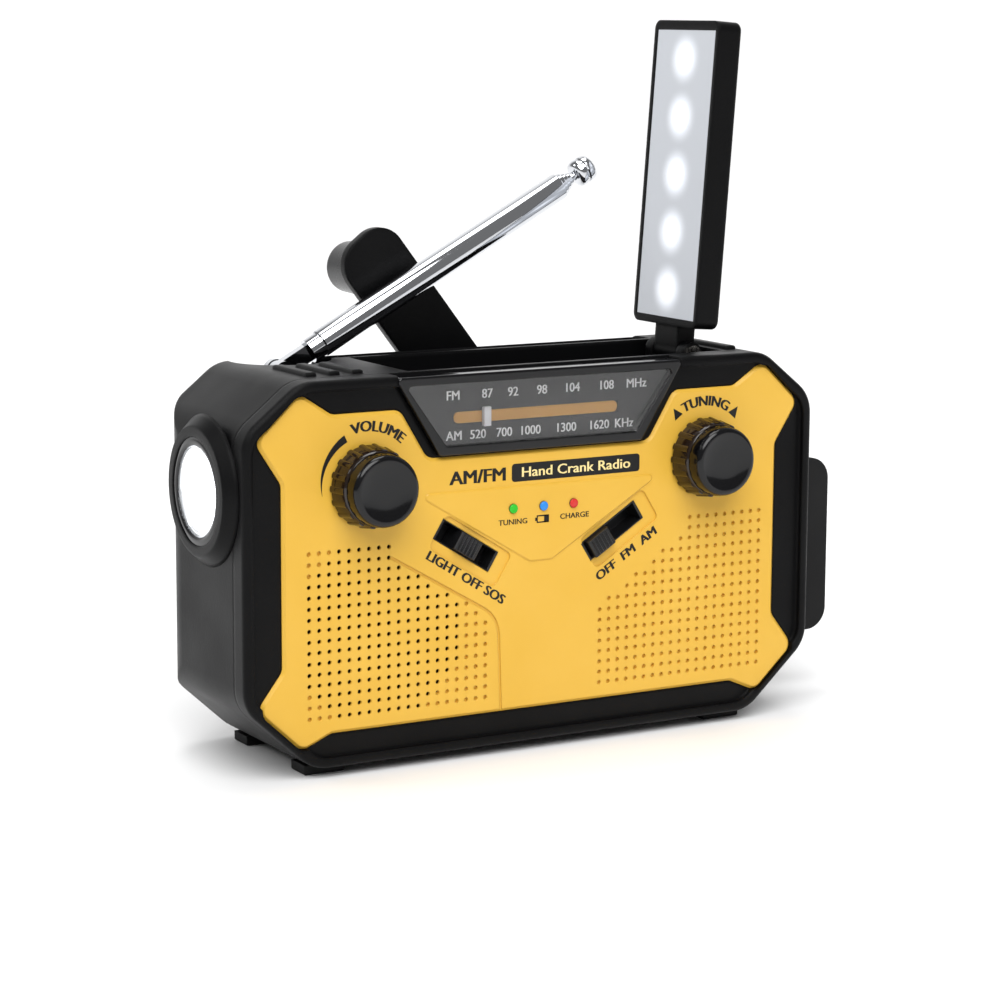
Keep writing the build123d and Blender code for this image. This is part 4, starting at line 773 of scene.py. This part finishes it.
screws.links.new(heads_coat.outputs[0], screws_out.inputs["Geometry"])
pan = bpy.data.objects.new("pan", lathe("pan", [(0.0, 0.0), (2.55, 0.0), (2.5, 0.35),
                                                (2.2, 0.75), (1.4, 1.0), (0.0, 1.1)], 40, 60.0))
cross = bpy.data.objects.new("cross", joined("cross", bar("slot_a", -1.4, 1.4, -0.28, 0.28, 0.3, 2.0, 0.05),
                                             bar("slot_b", -0.28, 0.28, -1.4, 1.4, 0.32, 2.1, 0.05)))
for thing in (pan, cross):
    scene.collection.objects.link(thing)
cut = pan.modifiers.new("cross_recess", "BOOLEAN")
cut.operation = "DIFFERENCE"
cut.solver = "EXACT"
cut.use_self = True
cut.object = cross
bpy.context.view_layer.update()
recessed = bpy.data.meshes.new_from_object(pan.evaluated_get(bpy.context.evaluated_depsgraph_get()))
pan.modifiers.clear()
bpy.data.objects.remove(cross)
recessed.transform(Matrix.Rotation(math.radians(-90), 4, "X"))
pan.data = recessed
places = bpy.data.meshes.new("screw_places")
places.from_pydata([(x / 1000, HEAD_FACE / 1000, z / 1000) for x, z in SCREW_PLACES], [], [])
driven = grown("screw_heads", screws, places, Head=pan, Finish=black_zinc)
bpy.data.objects.remove(pan)
placed("screw_heads", driven, Matrix.Identity(4), black_zinc, "case")

# ---- Inside --------------------------------------------------------------------------------
# What the holes, slots and open battery bay let the eye reach: speaker, boards, gears, dynamo
# and cells, each in its everyday finish.
paper = moulded("pressed_paper_cone", "#141312", "#1c1a18", 0.8, 0.6, 0.08, edge=0.1)
dress(paper, "speaker_cone")
dress(metal("zinc_plated_frame", "#9a9a98", 0.35, 1.0),
      "speaker_frame", "dynamo", "dynamo_rotor", "gearbox_plate")
nylon = moulded("white_nylon", "#d8d4c8", "#e2ded2", 0.45, 0.5, 0.02, edge=0.15)
dress(nylon, "crank_gear", "idler_gear", "tuning_condenser", "volume_shaft", "tuning_spindle")
board_lacquer = moulded("green_solder_lacquer", "#0f4a26", "#16592f", 0.3, 1.5, 0.02, edge=0.1)
dress(board_lacquer, "circuit_boards")
dress(moulded("white_solder_lacquer", "#d8dada", "#e4e4e4", 0.4, 1.5, 0.02, edge=0.1), "lamp_led_board")
dress(moulded("black_phenolic", "#161312", "#201b18", 0.5, 0.6, 0.03, edge=0.2), "volume_potentiometer")
dress(moulded("sintered_ferrite", "#222224", "#2c2c2e", 0.6, 0.4, 0.05, edge=0.2), "ferrite_aerial")
dress(moulded("blue_shrink_wrap", "#123a78", "#1a4688", 0.25, 1.2, 0.02, edge=0.2), "lithium_cell")
dress(moulded("copper_coloured_shrink_wrap", "#8a4a1c", "#97551f", 0.25, 1.2, 0.02, edge=0.2), "dry_cells")
